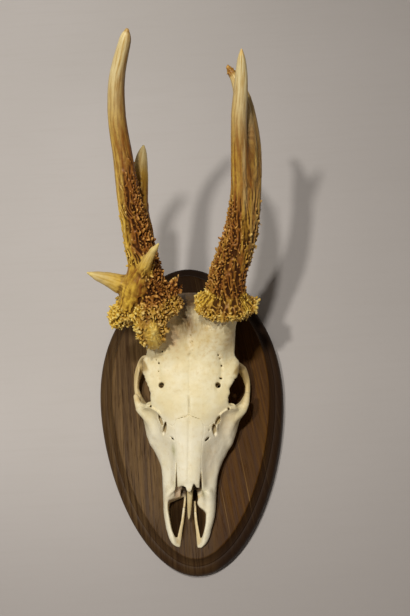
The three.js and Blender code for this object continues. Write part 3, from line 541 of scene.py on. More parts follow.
def build_skull():
    s = BONE_STEP
    half = s * math.ceil(47.5 / s)
    b = Block((-half, -106.5, -2.5), (half, 88.5, 76.5), s)
    mid = b.n[0] // 2
    xs, hs = b.ax[0][mid:], b.ax[2]
    for iz, z in enumerate(b.ax[1]):
        w = float(smooth(-73, -60, z))
        z1, z2 = min(max(z, -103.5), -60.0), min(max(z, FACE_END), OCCIPUT)
        d = 0
        if w < 1:
            d = (1 - w) * outline_distance(xs, hs, muzzle_outline(z1))
        if w > 0:
            d = d + w * outline_distance(xs, hs, core_outline(z2))
        b.d[mid:, iz, :] = d
        b.d[:mid + 1, iz, :] = d[::-1]
    b.d = b.blur(b.d, 0.8)
    b.d = smax(b.d, b.z - 85.4, 9.0)
    b.d = smax(b.d, -103.3 - b.z, 3.0)
    print("core %.1f s" % (time.time() - T0))

    # pedicles grow out of the brow
    for side in (-1, 1):
        line = [(side * x, z, h) for x, z, h in PEDICLE]
        line.append((side * 26.3, 57, 75.5))
        tube(b, line, lambda t: 12.6 - 1.5 * np.minimum(1, 1.5 * t) + 0.9 * smooth(0.8, 1, t), k=9.0, steps=14, margin=9)
    core = b.d.copy()
    # eye sockets
    rims = {}
    for side in (-1, 1):
        got = b.near((side * 36 - 19, -30, -3), (side * 36 + 19, 36, 60))
        sl, x, z, h = got
        rim = orbit_ring(x, z, h, side)
        arr = np.full(b.n, 6.0, F)
        arr[sl] = np.minimum(rim, 6.0)
        bar = np.full(b.n, 6.0, F)
        tube(b, [(side * x, z, h) for x, z, h in ([29, -25, 11.5], [34, -10, 12], [39.3, 1, 10.2], [42.4 - 0.4 * side, 11, 10.4], [41.9 - 0.5 * side, 20, 13.8], [40.4 - 0.4 * side, 24, 19])],
             lambda t: 4.4 - 2.6 * t, steps=16, flat=0.42, side=(side, 0, 0), into=bar, margin=6)
        arr = smin(arr, bar, 3.0)
        # the cheekbone runs on smoothly from the ring into the face
        cheek = np.full(b.n, 6.0, F)
        tube(b, [(side * x, z, h) for x, z, h in CHEEK[side]], lambda t: (1.9 + 1.2 * np.sin(np.pi * np.minimum(1, 1.35 * t))) * (1 - 0.75 * smooth(0.55, 1.0, t)), steps=16, flat=1.0, side=(side, 0, 0), into=cheek, margin=6)
        arr = smin(arr, cheek, 4.5)
        rims[side] = arr
        b.d = smin(b.d, arr, 4.5)
    rim_region = {k: 0.5 * (rims[k] - core) for k in rims}
    print("rims %.1f s" % (time.time() - T0))

    # lines, dents and the live unevenness of the bone
    top = relief(b.x, b.z)
    low = curve((-104, 30), (-66, 16), (-30, 24), (-8, 31), (5, 35), (30, 34), (60, 30), (88, 10))
    gate = smooth(-3, 3, b.h - low(b.z).astype(F))
    b.d += top * gate
    band = np.abs(b.d) < 2.5
    ix, iz, ih = np.nonzero(band)
    px, pz, ph = b.ax[0][ix], b.ax[1][iz], b.ax[2][ih]
    wob = 0.5 * (noise3(px, pz, ph, 15, 1) - 0.5) + 0.3 * (noise3(px, pz, ph, 6, 2) - 0.5) + 0.12 * (noise3(px, pz, ph, 2.2, 3) - 0.5)
    # thin broken edge of the brow over each socket
    edge = np.exp(-((np.abs(px) - browX(pz)) / 2.2) ** 2) * smooth(-7, -4, pz) * smooth(27, 23, pz) * smooth(35, 38, ph)
    wob += edge * (1.5 * np.abs(noise3(px * 0.1, pz, ph * 0.1, 1.7, 4) - 0.5) + 0.5 * (noise3(px * 0.1, pz, ph, 4.0, 5) - 0.5))
    # porous bone near the burrs
    rough = smooth(36, 52, pz) * smooth(84, 70, pz)
    wob += rough * 0.35 * (noise3(px, pz, ph, 1.5, 6) - 0.4)
    b.d[ix, iz, ih] += wob.astype(F)

    # mouth of the nose, openings and slits
    cut = lambda v, k: smax(b.d, -v, k)
    x, z, h = b.x, b.z, b.h
    ax = np.abs(x)
    gap = np.maximum(ax - prongX(np.maximum(z, -104)).astype(F), z + 61.5)                      # between the prongs
    b.d = cut(np.maximum(gap, h - 16).astype(F), 0.8)
    outer = {1: curve((-97.3, 9.4), (-92, 11.2), (-86, 12.2), (-81, 12.3), (-78.2, 10.6), (-75.4, 7.2), (-73, 5.7), (-66, 5.0)),
             -1: curve((-97, 9.9), (-92, 12.2), (-86, 13.7), (-76, 15.3), (-72, 14.7), (-69, 13.2), (-66, 12))}
    for side in (-1, 1):
        o = outer[side](z).astype(F)
        i = (prongX(z) + prongW(z)).astype(F)
        sx = side * x
        end = (z + 0.418 * sx + 66.1) * 0.92 if side < 0 else z + 67.0 + 0 * sx
        v = np.maximum(np.maximum(i - sx, sx - o), np.maximum(-96.9 - z, end.astype(F)))
        b.d = cut(v, 1.4)
    # the nose's mouth: a slanting edge on the right, a lobe that reaches inwards on the left
    lobe = curve((-81, 11.4), (-78.9, 10.3), (-77.2, 8.5), (-75.2, 5.5), (-73.4, 5.0), (-72.1, 5.6), (-70.2, 6.2), (-66, 5.6), (-62.1, 4.7), (-60, 4.4))
    left_v = np.maximum(np.maximum(x - lobe(z).astype(F), z + 61), -78.5 - z)
    right_v = np.maximum(np.maximum((z - x + 56.2) * 0.707, -14.6 - x), np.maximum(z + 61, -75.6 - z))
    shelf = np.clip(17.0 - 1.0 * np.maximum(0, (x - z - 56.2) * 0.707), 11.0, 17.0)      # slopes down from the edge of the cheek
    floor = np.where(x < -6.1, shelf, np.where((x > 0) & (z > -70.6), -9.0, 5.2)).astype(F)
    tipline = curve((-14, -60), (-10.2, -63.2), (-8.9, -64.3), (-6.6, -64.2), (-5.0, -63.5), (-3.2, -63.8), (-1.9, -64.4), (-1.0, -66.6), (0.5, -67.6), (1.6, -67.2), (2.6, -65.4), (3.2, -62.9), (4.1, -61.8), (5.2, -63.2), (8.2, -63.4), (10, -61.5), (14, -58))
    mouth = np.maximum(np.maximum(np.where(x > 0, left_v, right_v), floor - h), z - tipline(x).astype(F))
    b.d = cut(mouth.astype(F), 1.2)
    f = np.clip(1 - (z + 75) / 60, 0.4, 1.0).astype(F)
    w = 12.0 * f
    tp, lw = (dorsal(np.maximum(z, -66)) - 2.6).astype(F), (8.0 + 0.25 * (z + 70)).astype(F)
    cy, ry = 0.5 * (tp + lw), 0.5 * (tp - lw)
    k0 = np.sqrt((x / w) ** 2 + ((h - cy) / ry) ** 2)
    k1 = np.sqrt((x / w ** 2) ** 2 + ((h - cy) / ry ** 2) ** 2)
    v = np.maximum(k0 * (k0 - 1) / np.maximum(k1, 1e-5), z + 40)
    b.d = cut(v, 1.0)
    # the nasal tips hang over the opening
    plate = lambda x, z, h: np.maximum(np.abs(h - (dorsal(z) + 0.36 * np.minimum(z + 66, 0) - 1.5 - 0.02 * x * x).astype(F)) - 1.05, np.maximum(np.abs(x - 0.4) - 3.4, np.maximum(tipline(x).astype(F) - z, z + 61)))
    put(b, (-5, -71, 14), (6, -59, 32), plate, 0.8)
    # clefts between the nasal bones and the cheeks, open towards the front
    for side, back, wide in ((-1, -47, 0.55), (1, -51, 0.8)):
        e = (nasalX(z) + 0.25).astype(F)
        v = np.maximum(np.abs(side * x - e) - wide * smooth(back, -62, b.ax[1]).astype(F)[None, :, None] - 0.05, np.maximum(z - back, (dorsal(z) - 9).astype(F) - h))
        b.d = cut(v, 0.4)
    # notched front edge of the nasal bones
    v = np.maximum(np.maximum(z - tipline(x).astype(F), np.where(x > 0, x - 4.6, -9.6 - x)), (dorsal(z) - 8.0).astype(F) - h)
    b.d = cut(v.astype(F), 0.5)
    for path, half_w, h0, h1 in SLITS:
        ps = np.array(path)
        def slit(x, z, h, path=path, half_w=half_w, h0=h0):
            d, t = path_distance(x, z, path)
            return np.maximum(d - half_w * np.sqrt(np.clip(1.15 - (2 * t - 1) ** 2, 0.1, 1)), h0 - h)
        put(b, (ps[:, 0].min() - 3, ps[:, 1].min() - 3, h0 - 3), (ps[:, 0].max() + 3, ps[:, 1].max() + 3, 50), slit, 0.5, "dig")
    for cx, cz, rx, rz in HOLES:
        put(b, (cx - 4, cz - 4, 20), (cx + 4, cz + 4, 62),
            lambda x, z, h: np.maximum((np.sqrt(((x - cx) / rx) ** 2 + ((z - cz) / rz) ** 2) - 1) * min(rx, rz), (dorsal(cz) - 12.0) - h), 0.5, "dig")
    rng = np.random.default_rng(11)
    for cx, cz, wx, wz, count, big in FINE_PITS:
        for _ in range(count):
            x0, z0 = cx + wx * rng.normal() * 0.6, cz + wz * rng.normal() * 0.6
            r = big * rng.uniform(0.55, 1.0)
            col = b.near((x0, z0, 30), (x0 + s, z0 + s, 76))
            if col is None:
                continue
            hh = b.d[col[0][0].start, col[0][1].start, col[0][2]]
            inside = np.nonzero(hh < 0)[0]
            if len(inside) == 0:
                continue
            h0 = b.ax[2][col[0][2].start + inside[-1]]
            lo, hi, fn = capsule((x0, z0, h0 + 0.6), (x0, z0, h0 - 0.5), r, r * 0.6)
            put(b, lo, hi, fn, 0.3, "dig")
    b.d = np.maximum(b.d, BASE_H - b.h)
    print("skull field %.1f s" % (time.time() - T0))
    return b, rim_region, core


def claim(field, *sides):
    """The part of a field where every signed side is negative. A side given as a pair
    slips a thin tongue under its neighbour, so that no groove shows at the joint."""
    g = field
    for r in sides:
        if isinstance(r, tuple):
            r = r[0]
            g = np.maximum(g + 0.15 * np.clip(r + 0.15, 0, 2), r - 0.6)
        else:
            g = np.maximum(g, r)
    return g


def skull_pieces(material):
    b, rim, core = build_skull()
    x, z, h = b.x, b.z, b.h
    ax = np.abs(x)
    soft = b.blur(np.clip(b.d, -3, 3), 1.6)
    pre = (z - FACE_END + 3.0 * (noise3(x, z, 0 * x, 5, 21) - 0.5)).astype(F)
    front = curve((0, -15.6), (5, -17.4), (12.2, -22.6), (17, -20), (22, -15), (29, -10), (34, -8), (45, -7.5))
    brow = (z - front(ax).astype(F) + 1.2 * (noise3(x, z, 0 * x, 2.5, 22) - 0.5)).astype(F)
    nas = np.maximum(np.maximum(ax - nasalX(z).astype(F) - 0.1 + 0.5 * (noise3(0 * x + 3, z, 0 * x, 2.4, 23) - 0.5), (dorsal(z) - 4.4).astype(F) - h), z + 15.6)
    cor = ((z - 62) * 0.974 - (h - 60) * 0.227 + 1.8 * (noise3(x, 0 * z, h, 2.2, 24) - 0.5)).astype(F)
    burrs = {k: burr_guard(b, k) for k in ("left", "right")}
    full = b.d
    jobs = [("bone_premaxilla_left", "skull_premaxilla_left", (full, pre, -x, -nas)),
            ("bone_premaxilla_right", "skull_premaxilla_right", (full, pre, x + 0 * full, -nas)),
            ("bone_maxilla_left", "skull_maxilla_left", (full, (-pre,), -x, (brow,), (-nas,), (-rim[1],))),
            ("bone_maxilla_right", "skull_maxilla_right", (full, (-pre,), x, (brow,), (-nas,), (-rim[-1],))),
            ("bone_nasals", "skull_nasals", (full, nas)),
            ("bone_frontal", "skull_frontal", (full, -brow, (cor,), (-nas,), (-rim[1],), (-rim[-1],), -burrs["left"], -burrs["right"])),
            ("bone_braincase", "skull_braincase", (full, -cor, -burrs["left"], -burrs["right"])),
            ("bone_orbit_left", "skull_orbit_left", (full, rim[1])),
            ("bone_orbit_right", "skull_orbit_right", (full, rim[-1]))]
    for name, node, args in jobs:
        field = claim(*args)
        p, q = polygonise(b, field)
        at = bone_attributes(b, soft, core, p)
        o = mesh_object(name, to_world(p), q, at, material)
        finish_piece(o, [node])
    # the vomer, a thin keel between the premaxillae
    v = Block((-7, -90, 4), (7, -40, 24), BONE_STEP * 0.8)
    tube(v, [(0.6, -44, 15), (0.7, -58, 15.5), (0.6, -66, 15), (0.3, -76, 12.5), (0.1, -85, 10)],
         lambda t: 0.35 + 2.55 * np.sqrt(np.clip(1 - t, 0, 1)), steps=20, flat=0.8, side=(0, 0, 1))
    v.d = v.d + 0.8 * np.exp(-((v.x - 0.4) / 0.7) ** 2) * smooth(13.5, 16.5, v.h) * smooth(-84, -78, v.z).astype(F) + 0.2 * (noise3(v.x, v.z * 0.3, v.h, 1.6, 31) - 0.5)
    p, q = polygonise(v, v.d)
    one = np.ones(len(p))
    # deep darkens the vomer's back, under the nasal bones, as painted shade
    o = mesh_object("bone_vomer", to_world(p), q, {k: one * s for k, s in (("fair", 0.0), ("bend", 0.1), ("edge", 0.55), ("brown", 0.22), ("grey", 0.0), ("pink", 0.12), ("green", 0.24))} | {"deep": 0.75 * smooth(-71, -61, p[:, 1])}, material)
    finish_piece(o, ["skull_vomer"])


def blob(p, x, z, h, r, squash=1.0):
    """1 at a spot of the bone, fading to 0 at about r mm from it."""
    d = np.sqrt((p[:, 0] - x) ** 2 + ((p[:, 1] - z) * squash) ** 2 + ((p[:, 2] - h) * 0.5) ** 2)
    return np.exp(-(d / r) ** 2)


def bone_attributes(b, soft, core, p):
    x, z, h = p.T
    inside = -b.sample(core, p)                            # how deep in the uncut bone, mm
    bend = np.clip(b.sample(soft, p) / 0.9, -1, 1)          # sharp edges above 0, creases below
    n = noise3(x, z, h, 7, 41)
    # brown stains; the blobs on the midline, in the valley between the pedicles, are partly painted shade there
    brown = 0.9 * blob(p, -2.6, 47.5, 56, 5.5, 0.8) + 0.55 * blob(p, -2.6, 58, 54, 6, 0.5) + 0.25 * blob(p, 30, 37, 55, 5, 0.5) + 0.3 * blob(p, 22, 47, 66, 7) * n \
        + 0.45 * smooth(60, 72, z) + 0.3 * blob(p, 0.4, 36, 57, 2.5, 0.3) * (n > 0.5)
    # grey darkens the braincase behind the brow: partly a darker tint of that bone, partly painted shade under the
    # burrs and between the antlers
    grey = smooth(52, 66, z - 0.25 * (h - 55)) * 1.0
    pink = 1.0 * blob(p, -11.9, 38.5, 58, 4.6, 0.6) + 0.6 * blob(p, -16, 46, 62, 5) + 0.5 * blob(p, -12, -70, 9, 4) + 0.28 * blob(p, 27, -20, 30, 8, 0.6) \
        + 0.25 * blob(p, 15.5, -45, 24, 7, 0.4) + 0.3 * blob(p, 29, 41, 55, 4, 0.4)
    green = 0.8 * blob(p, -11.0, -38.2, 30, 2.0, 0.35) + 0.7 * blob(p, 10.1, -67.7, 17, 2.4, 0.6) + 0.3 * blob(p, -9, -62, 24, 3)
    shelf = smooth(-5.0, -7.0, x) * smooth(-60.5, -62.5, z) * smooth(9, 11, h)
    edge = np.clip(0.9 * bend, 0, 1) * 0.45 + 0.12 * (np.abs(x) > 33) + 0.30 * smooth(34, 30, h) * smooth(-10, 0, z) + 0.30 * smooth(8, 40, z) * smooth(56, 46, z) \
        + 0.5 * smooth(0.8, 1.8, inside) * (1 - shelf) + 0.75 * smooth(33, 36, np.abs(x)) * smooth(10, 15, z) * smooth(27, 23, z) * smooth(38, 34, h)
    pink = np.maximum(pink, 0.85 * shelf * smooth(0.6, 1.6, inside))
    # painted shade: deep darkens creases and the walls deep in the openings, holes and nasal passage, less on the
    # shelf, the front of the muzzle and the slits
    deep = 0.8 * smooth(-0.1, -1.0, bend) * (1 - 0.7 * shelf) + smooth(2.2, 6.5, inside) * (1 - 0.65 * smooth(-64, -70, z)) * (1 - 0.92 * shelf)
    slit = smooth(14.5, 15.5, np.abs(x)) * smooth(24.2, 23.4, np.abs(x)) * smooth(-30, -29, z) * smooth(-12.5, -13.5, z) * smooth(0.9, 1.9, inside - np.maximum(0, relief(x, z))) * smooth(24, 27, h)
    deep = deep * (1 - 0.72 * slit)
    edge = np.maximum(edge, 0.95 * slit)
    brown = np.maximum(brown, 0.60 * slit)
    # the amber is the bone's own tint; the brown mixed in darkens it as painted shade of this shaded underside
    for side in (1, -1):                                   # amber inner face of the back of each eye ring
        o = ORBIT[side]
        zc, w = z - o["z"], h - o["h"]
        q = side * x - o["x"] - o["slope"] * zc
        rho = np.hypot(zc, q * math.sin(ORBIT_LEAN) - w * math.cos(ORBIT_LEAN))
        back = smooth(o["r"] + 2.3, o["r"] + 0.3, rho) * smooth(0.05, 0.5, zc / np.maximum(rho, 1)) * (side * x > 27) * smooth(21, 25, h)
        edge = np.maximum(edge, back)
        brown = np.maximum(brown, 0.58 * back)
    # the valley between the pedicles: brown stains darkened further as painted shade
    brown = np.maximum(brown, 0.6 * blob(p, -2.0, 46, 56, 8.0, 0.8) * smooth(0.1, 0.8, n) + 0.45 * blob(p, -2, 57, 54, 9, 0.6) + 0.30 * blob(p, -2, 47, 57, 10, 0.7))
    edge = edge + 0.16 * smooth(-14, 12, z) * smooth(60, 40, z)
    fair = smooth(-8, -30, z)
    return {"fair": fair, "bend": bend, "edge": np.clip(edge, 0, 1), "brown": np.clip(brown, 0, 1), "grey": np.clip(grey, 0, 1),
            "pink": np.clip(pink * (1 - slit), 0, 1), "green": np.clip(green + 0.35 * slit, 0, 1), "deep": np.clip(deep, 0, 1)}


# ================================================================== antlers
# Each bar lists points (x, z, h) along its middle and its radius from root to tip.
RIGHT = dict(
    seat=((-27.9, 56.2, 75), (-0.05, 0.68, 0.73)),
    beam=([[-27.9, 56.2, 75], [-29.8, 71.4, 90], [-35.0, 93.2, 109], [-39.7, 113.9, 127], [-42.4, 135.1, 143], [-45.0, 153.9, 161], [-43.2, 170, 181], [-36.0, 183.9, 201], [-34.4, 187.4, 205.5]],
          curve((0, 14.2), (0.1, 12), (0.28, 9.2), (0.42, 7.3), (0.56, 6.3), (0.7, 5.5), (0.84, 4.1), (0.95, 2.7), (1, 1.4))),
    rear=([[-30.5, 86, 97], [-31.5, 98, 103], [-34.6, 114, 109.5], [-34.4, 135.4, 114], [-34.2, 147, 116], [-32.7, 160, 119]],
          curve((0, 7), (0.35, 7), (0.6, 5.7), (0.8, 4.8), (0.93, 3.1), (1, 0.9))),
    front=([[-32.7, 64.4, 92], [-30.5, 69.9, 102], [-27, 73.8, 110], [-22.6, 77.5, 118], [-18.1, 80, 125]],
           curve((0, 5.6), (0.22, 4.6), (0.5, 3.5), (0.75, 2.5), (0.9, 1.7), (1, 0.6))),
    side=([[-33.1, 60, 80], [-41.2, 64.2, 86], [-49.2, 66.2, 91], [-56.2, 67.2, 96], [-62.8, 67.4, 101], [-68.2, 67.6, 105.5]],
          curve((0, 9.6), (0.3, 7.4), (0.55, 5.2), (0.8, 3.0), (1, 0.6))),
)
LEFT = dict(
    seat=((25.6, 58, 75), (0.08, 0.68, 0.73)),
    beam=([[25.6, 58, 75], [27.8, 72, 89], [34.2, 94.3, 107], [36.0, 114.9, 125], [35.5, 134.8, 143], [35.1, 152.6, 162], [36.4, 168.4, 182], [36.5, 177.3, 199]],
          curve((0, 14.2), (0.1, 13.2), (0.2, 11.8), (0.32, 8.6), (0.45, 6.6), (0.6, 5.6), (0.75, 5.0), (0.88, 3.8), (0.96, 2.4), (1, 0.6))),
    rear=([[36.5, 84, 93], [39.6, 97, 103], [41.6, 111, 113.5], [42.3, 126, 122.5], [42.5, 143, 130], [41.4, 156, 136], [39.2, 169.8, 142.5], [36.6, 180.4, 149], [32.2, 190, 154.5], [27.6, 196.2, 158.5]],
          curve((0, 8), (0.15, 8.6), (0.3, 8.3), (0.5, 8.1), (0.72, 6.4), (0.88, 3.3), (0.96, 2.1), (1, 1.3))),
)
BURR_T = 12.0
FORK = 0.36
# The right burr's hanging lobe, inner knob and outer lump: points, radius, flatness and the way it is flat
DROP = ([[-27, 47, 83.5], [-26, 38.8, 80], [-25.2, 32.4, 71.8], [-24.8, 28.2, 64.5]],
        lambda s: (11.0 - 3.2 * s) * np.sqrt(np.maximum(0.12, 1 - 0.85 * s ** 4)), 0.62, (0, 0.83, 0.55))
KNOB = ([[-16, 62, 78], [-11, 68, 79], [-7.6, 74, 76]], lambda s: 6.2 - 3.2 * s, 1.0, (1, 0, 0))
LUMP = ([[-36, 54, 78], [-45, 50, 76], [-51.0, 46.5, 72]], lambda s: 8.8 - 3.2 * s * s, 1.0, (1, 0, 0))


def unit(v):
    v = np.asarray(v, float)
    return v / np.linalg.norm(v)


def lean(a, at0, wide, gain):
    return gain * np.exp(-np.arctan2(np.sin(a - at0), np.cos(a - at0)) ** 2 / (2 * wide * wide))


def burr_frame(side):
    c, axis = (LEFT if side == "left" else RIGHT)["seat"]
    t = unit(axis)
    u = unit(np.array([1.0, 0, 0]) - t * t[0])
    return np.array(c, float), t, u, np.cross(t, u)


def burr_radius(side, a):
    if side == "left":
        return 20.4 + 1.0 * np.sin(5 * a + 0.6) + lean(a, math.radians(10), 0.5, 1.4)
    return 18.3 + 1.0 * np.sin(6 * a) + lean(a, math.radians(160), 0.3, 5.4) + lean(a, math.radians(132), 0.28, 4.5) + lean(a, math.radians(2), 0.5, 2.2)


burr_shape = curve((-7, 0.5), (-6, 0.62), (-4.5, 0.88), (-1.6, 1.0), (0.2, 1.02), (1.8, 0.985), (4.2, 0.86), (7.5, 0.70), (11.1, 0.60), (14, 0.55))


def burr_field(side, x, z, h):
    """Distance to the ring of a burr; also the angle round it, the way along its axis and out from it."""
    c, t, u, v = burr_frame(side)
    px, pz, ph = x - F(c[0]), z - F(c[1]), h - F(c[2])
    l = px * F(t[0]) + pz * F(t[1]) + ph * F(t[2])
    q = px * F(u[0]) + pz * F(u[1]) + ph * F(u[2])
    w = px * F(v[0]) + pz * F(v[1]) + ph * F(v[2])
    rho, a = np.sqrt(q * q + w * w), np.arctan2(w, q)
    r = burr_radius(side, a) * burr_shape(l + 0.9 * np.sin(3 * a + 1))
    d = (rho - np.maximum(r, 12.6)) * 0.8
    return smax(d.astype(F), (np.abs(l - 2.6) - 8.9).astype(F), 2.5), a, l, rho


def burr_guard(b, side):
    """The room a burr takes up, over the skull's block."""
    out = np.full(b.n, 6.0, F)
    c = np.array(burr_frame(side)[0])
    sl, x, z, h = b.near(c - 34, c + 34)
    out[sl] = burr_field(side, x, z, h)[0] - 0.1
    return out


class Bar:
    """A tapering branch of an antler: finds the way along it and the angle round it."""

    def __init__(self, points, radius, m=40):
        s = np.linspace(0, 1, m + 1)
        self.m, self.points, self.radius = m, points, radius
        self.p = spline(points, s * (len(points) - 1))
        self.r = np.asarray(radius(s), float)
        t = np.gradient(self.p, axis=0)
        self.t = t / np.linalg.norm(t, axis=1, keepdims=True)
        u = np.array([1.0, 0, 0])
        self.u = np.zeros_like(t)
        for i in range(m + 1):
            u = unit(u - self.t[i] * (u @ self.t[i]))
            self.u[i] = u
        self.v = np.cross(self.t, self.u)
        self.len = np.concatenate([[0], np.cumsum(np.linalg.norm(np.diff(self.p, axis=0), axis=1))])

    def locate(self, q):
        """Distance to the bar, share of the way along it, mm along it and angle round it."""
        out = [self._locate(q[i:i + 12000]) for i in range(0, len(q), 12000)]
        return tuple(np.concatenate(k) for k in zip(*out)) if out else (np.zeros(0, F),) * 4

    def _locate(self, q):
        q = q.astype(F)
        best, seg, tt = np.full(len(q), 1e9, F), np.zeros(len(q), np.int16), np.zeros(len(q), F)
        for i in range(self.m):
            a = self.p[i].astype(F)
            e = (self.p[i + 1] - self.p[i]).astype(F)
            w = q - a
            t = np.clip(w @ e / F(e @ e), 0, 1)
            w -= t[:, None] * e
            d = np.einsum("ij,ij->i", w, w)
            near = d < best
            best[near], seg[near], tt[near] = d[near], i, t[near]
        seg = seg.astype(np.int64)
        mix = lambda arr: arr[seg] * (1 - tt)[:, None] + arr[seg + 1] * tt[:, None]
        n = q - mix(self.p)
        ang = np.arctan2((n * mix(self.v)).sum(1), (n * mix(self.u)).sum(1))
        s = (seg + tt) / self.m
        share = np.linspace(0, 1, self.m + 1)
        return (np.sqrt(best) - np.interp(s, share, self.r)).astype(F), s, np.interp(s, share, self.len), ang


BARS = {side: {k: Bar(*A[k], m=40 if k == "beam" else 24) for k in A if k != "seat"} for side, A in (("left", LEFT), ("right", RIGHT))}
WEB = ([[-33.5, 70, 94], [-38.0, 62, 90.5], [-41.0, 56, 85.5], [-43.5, 50, 80]], lambda s: 9.0 - 2.0 * s, 1.0, (1, 0, 0))
# On the left antler a blade of horn fills the fork between the beam and the rear tine
BLADE = ([[37.2, 90, 104], [39.8, 104, 113], [41.0, 118, 122.5], [41.3, 131, 132], [40.9, 144, 141.5], [39.9, 155, 149], [38.5, 166, 156], [37.4, 173, 161]],
         lambda s: np.interp(s, [0, 0.2, 0.45, 0.65, 0.85, 1], [5.5, 7.0, 6.8, 5.9, 4.2, 2.2]), 1.0, (1, 0, 0))
LOBES = {"right": (DROP, KNOB, LUMP, WEB), "left": (BLADE,)}
BUDS = {"left": [], "right": []}       # lumps that cluster on the burrs
PEARLS = {"left": [], "right": []}     # small beads and spurs


def joined(side, q, found):
    """The bars of an antler, run together and cut off level under the burr."""
    d = None
    for k, f in found.items():
        d = f[0] if d is None else smin(d, f[0], 4.5 if k in ("front", "side") else 3.0)
    c, t, u, v = burr_frame(side)
    l = (q - c) @ t
    return smax(d, (-5.5 - l).astype(F), 2.0)


class Antler:
    """One block of an antler, worked out only in the cells in or near it."""

    def __init__(self, side, lo, hi, step):
        self.side = side
        b = self.b = Block(lo, hi, step)
        k = 4
        coarse = Block(lo, hi, step * k)
        cx, cz, ch = np.meshgrid(*coarse.ax, indexing="ij")
        q = np.stack([cx.ravel(), cz.ravel(), ch.ravel()], 1)
        d = np.minimum.reduce([bar.locate(q)[0] for bar in BARS[side].values()])
        c = burr_frame(side)[0]
        d = np.minimum(d, burr_field(side, *(q[:, i] for i in range(3)))[0])
        for pts, r, flat, way in LOBES[side]:
            d = np.minimum(d, Bar(pts, r, 14).locate(q)[0])
        near = (d < 2.6 + step * k * 1.8).reshape(coarse.n)
        near = np.repeat(np.repeat(np.repeat(near, k, 0), k, 1), k, 2)
        pad = k // 2
        near = np.pad(near, [(0, max(0, n - s)) for n, s in zip(b.n, near.shape)], mode="edge")
        near = np.roll(near, (-pad, -pad, -pad), (0, 1, 2))[:b.n[0], :b.n[1], :b.n[2]]
        self.idx = np.nonzero(near)
        self.q = np.stack([b.ax[i][self.idx[i]] for i in range(3)], 1)
        self.found = {}
        for key, bar in BARS[side].items():
            r = bar.r.max() + 12
            if (bar.p.max(0) + r < b.lo).any() or (bar.p.min(0) - r > self.q.max(0)).any():
                continue
            self.found[key] = bar.locate(self.q)
        self.b.d[self.idx] = joined(side, self.q, self.found)
        ring = burr_field(side, *(self.q[:, i] for i in range(3)))
        self.ring = ring
        b.d[self.idx] = smin(b.d[self.idx], ring[0], 3.0)
        for pts, r, flat, way in LOBES[side]:
            tube(b, pts, r, k=3.0, steps=14, flat=flat, side=unit(way), margin=4)
        for lo2, hi2, fn in BUDS[side]:
            put(b, lo2, hi2, fn, 1.6)
        self.base = b.d.copy()


def lobe_distance(side, q):
    return np.minimum.reduce([Bar(pts, r, 10).locate(q)[0] for pts, r, flat, way in LOBES[side]])


def scatter(side, step):
    """Points spread over the plain antler, with outward normals."""
    pts = np.vstack([bar.p for bar in BARS[side].values()])
    lo, hi = np.minimum(pts.min(0) - 9, [-60 if side == "right" else 0, 18, 50]), np.maximum(pts.max(0) + 4, [0 if side == "right" else 54, 90, 100])
    a = Antler(side, lo, hi, step)
    p, q = polygonise(a.b, a.b.d)
    return p, gradient(a.b, a.b.d, p)


def darts(rng, p, spacing, most):
    """Picks points that keep the given distance from each other, in random order."""
    keep, cells = [], {}
    for i in rng.permutation(np.nonzero(spacing < 9.0)[0]):
        reach = int(math.ceil(spacing[i] / 3.0))
        kx, kz, kh = (p[i] // 3.0).astype(int)
        ok = True
        for a in range(-reach, reach + 1):
            for c in range(-reach, reach + 1):
                for e in range(-reach, reach + 1):
                    for j in cells.get((kx + a, kz + c, kh + e), ()):
                        if (p[i, 0] - p[j, 0]) ** 2 + (p[i, 1] - p[j, 1]) ** 2 + (p[i, 2] - p[j, 2]) ** 2 < (0.5 * (spacing[i] + spacing[j])) ** 2:
                            ok = False
                            break
                    if not ok:
                        break
                if not ok:
                    break
            if not ok:
                break
        if ok:
            keep.append(i)
            cells.setdefault((kx, kz, kh), []).append(i)
            if len(keep) >= most:
                break
    return keep


def drop_core(p, grow=0.0):
    """1 in the smoother middle of the hanging lobe's face."""
    return np.exp(-(((p[:, 0] + 23.8) / (5.4 + grow)) ** 2 + ((p[:, 1] - 30.2) / (7.6 + grow)) ** 2) ** 2) * smooth(61, 66, p[:, 2])


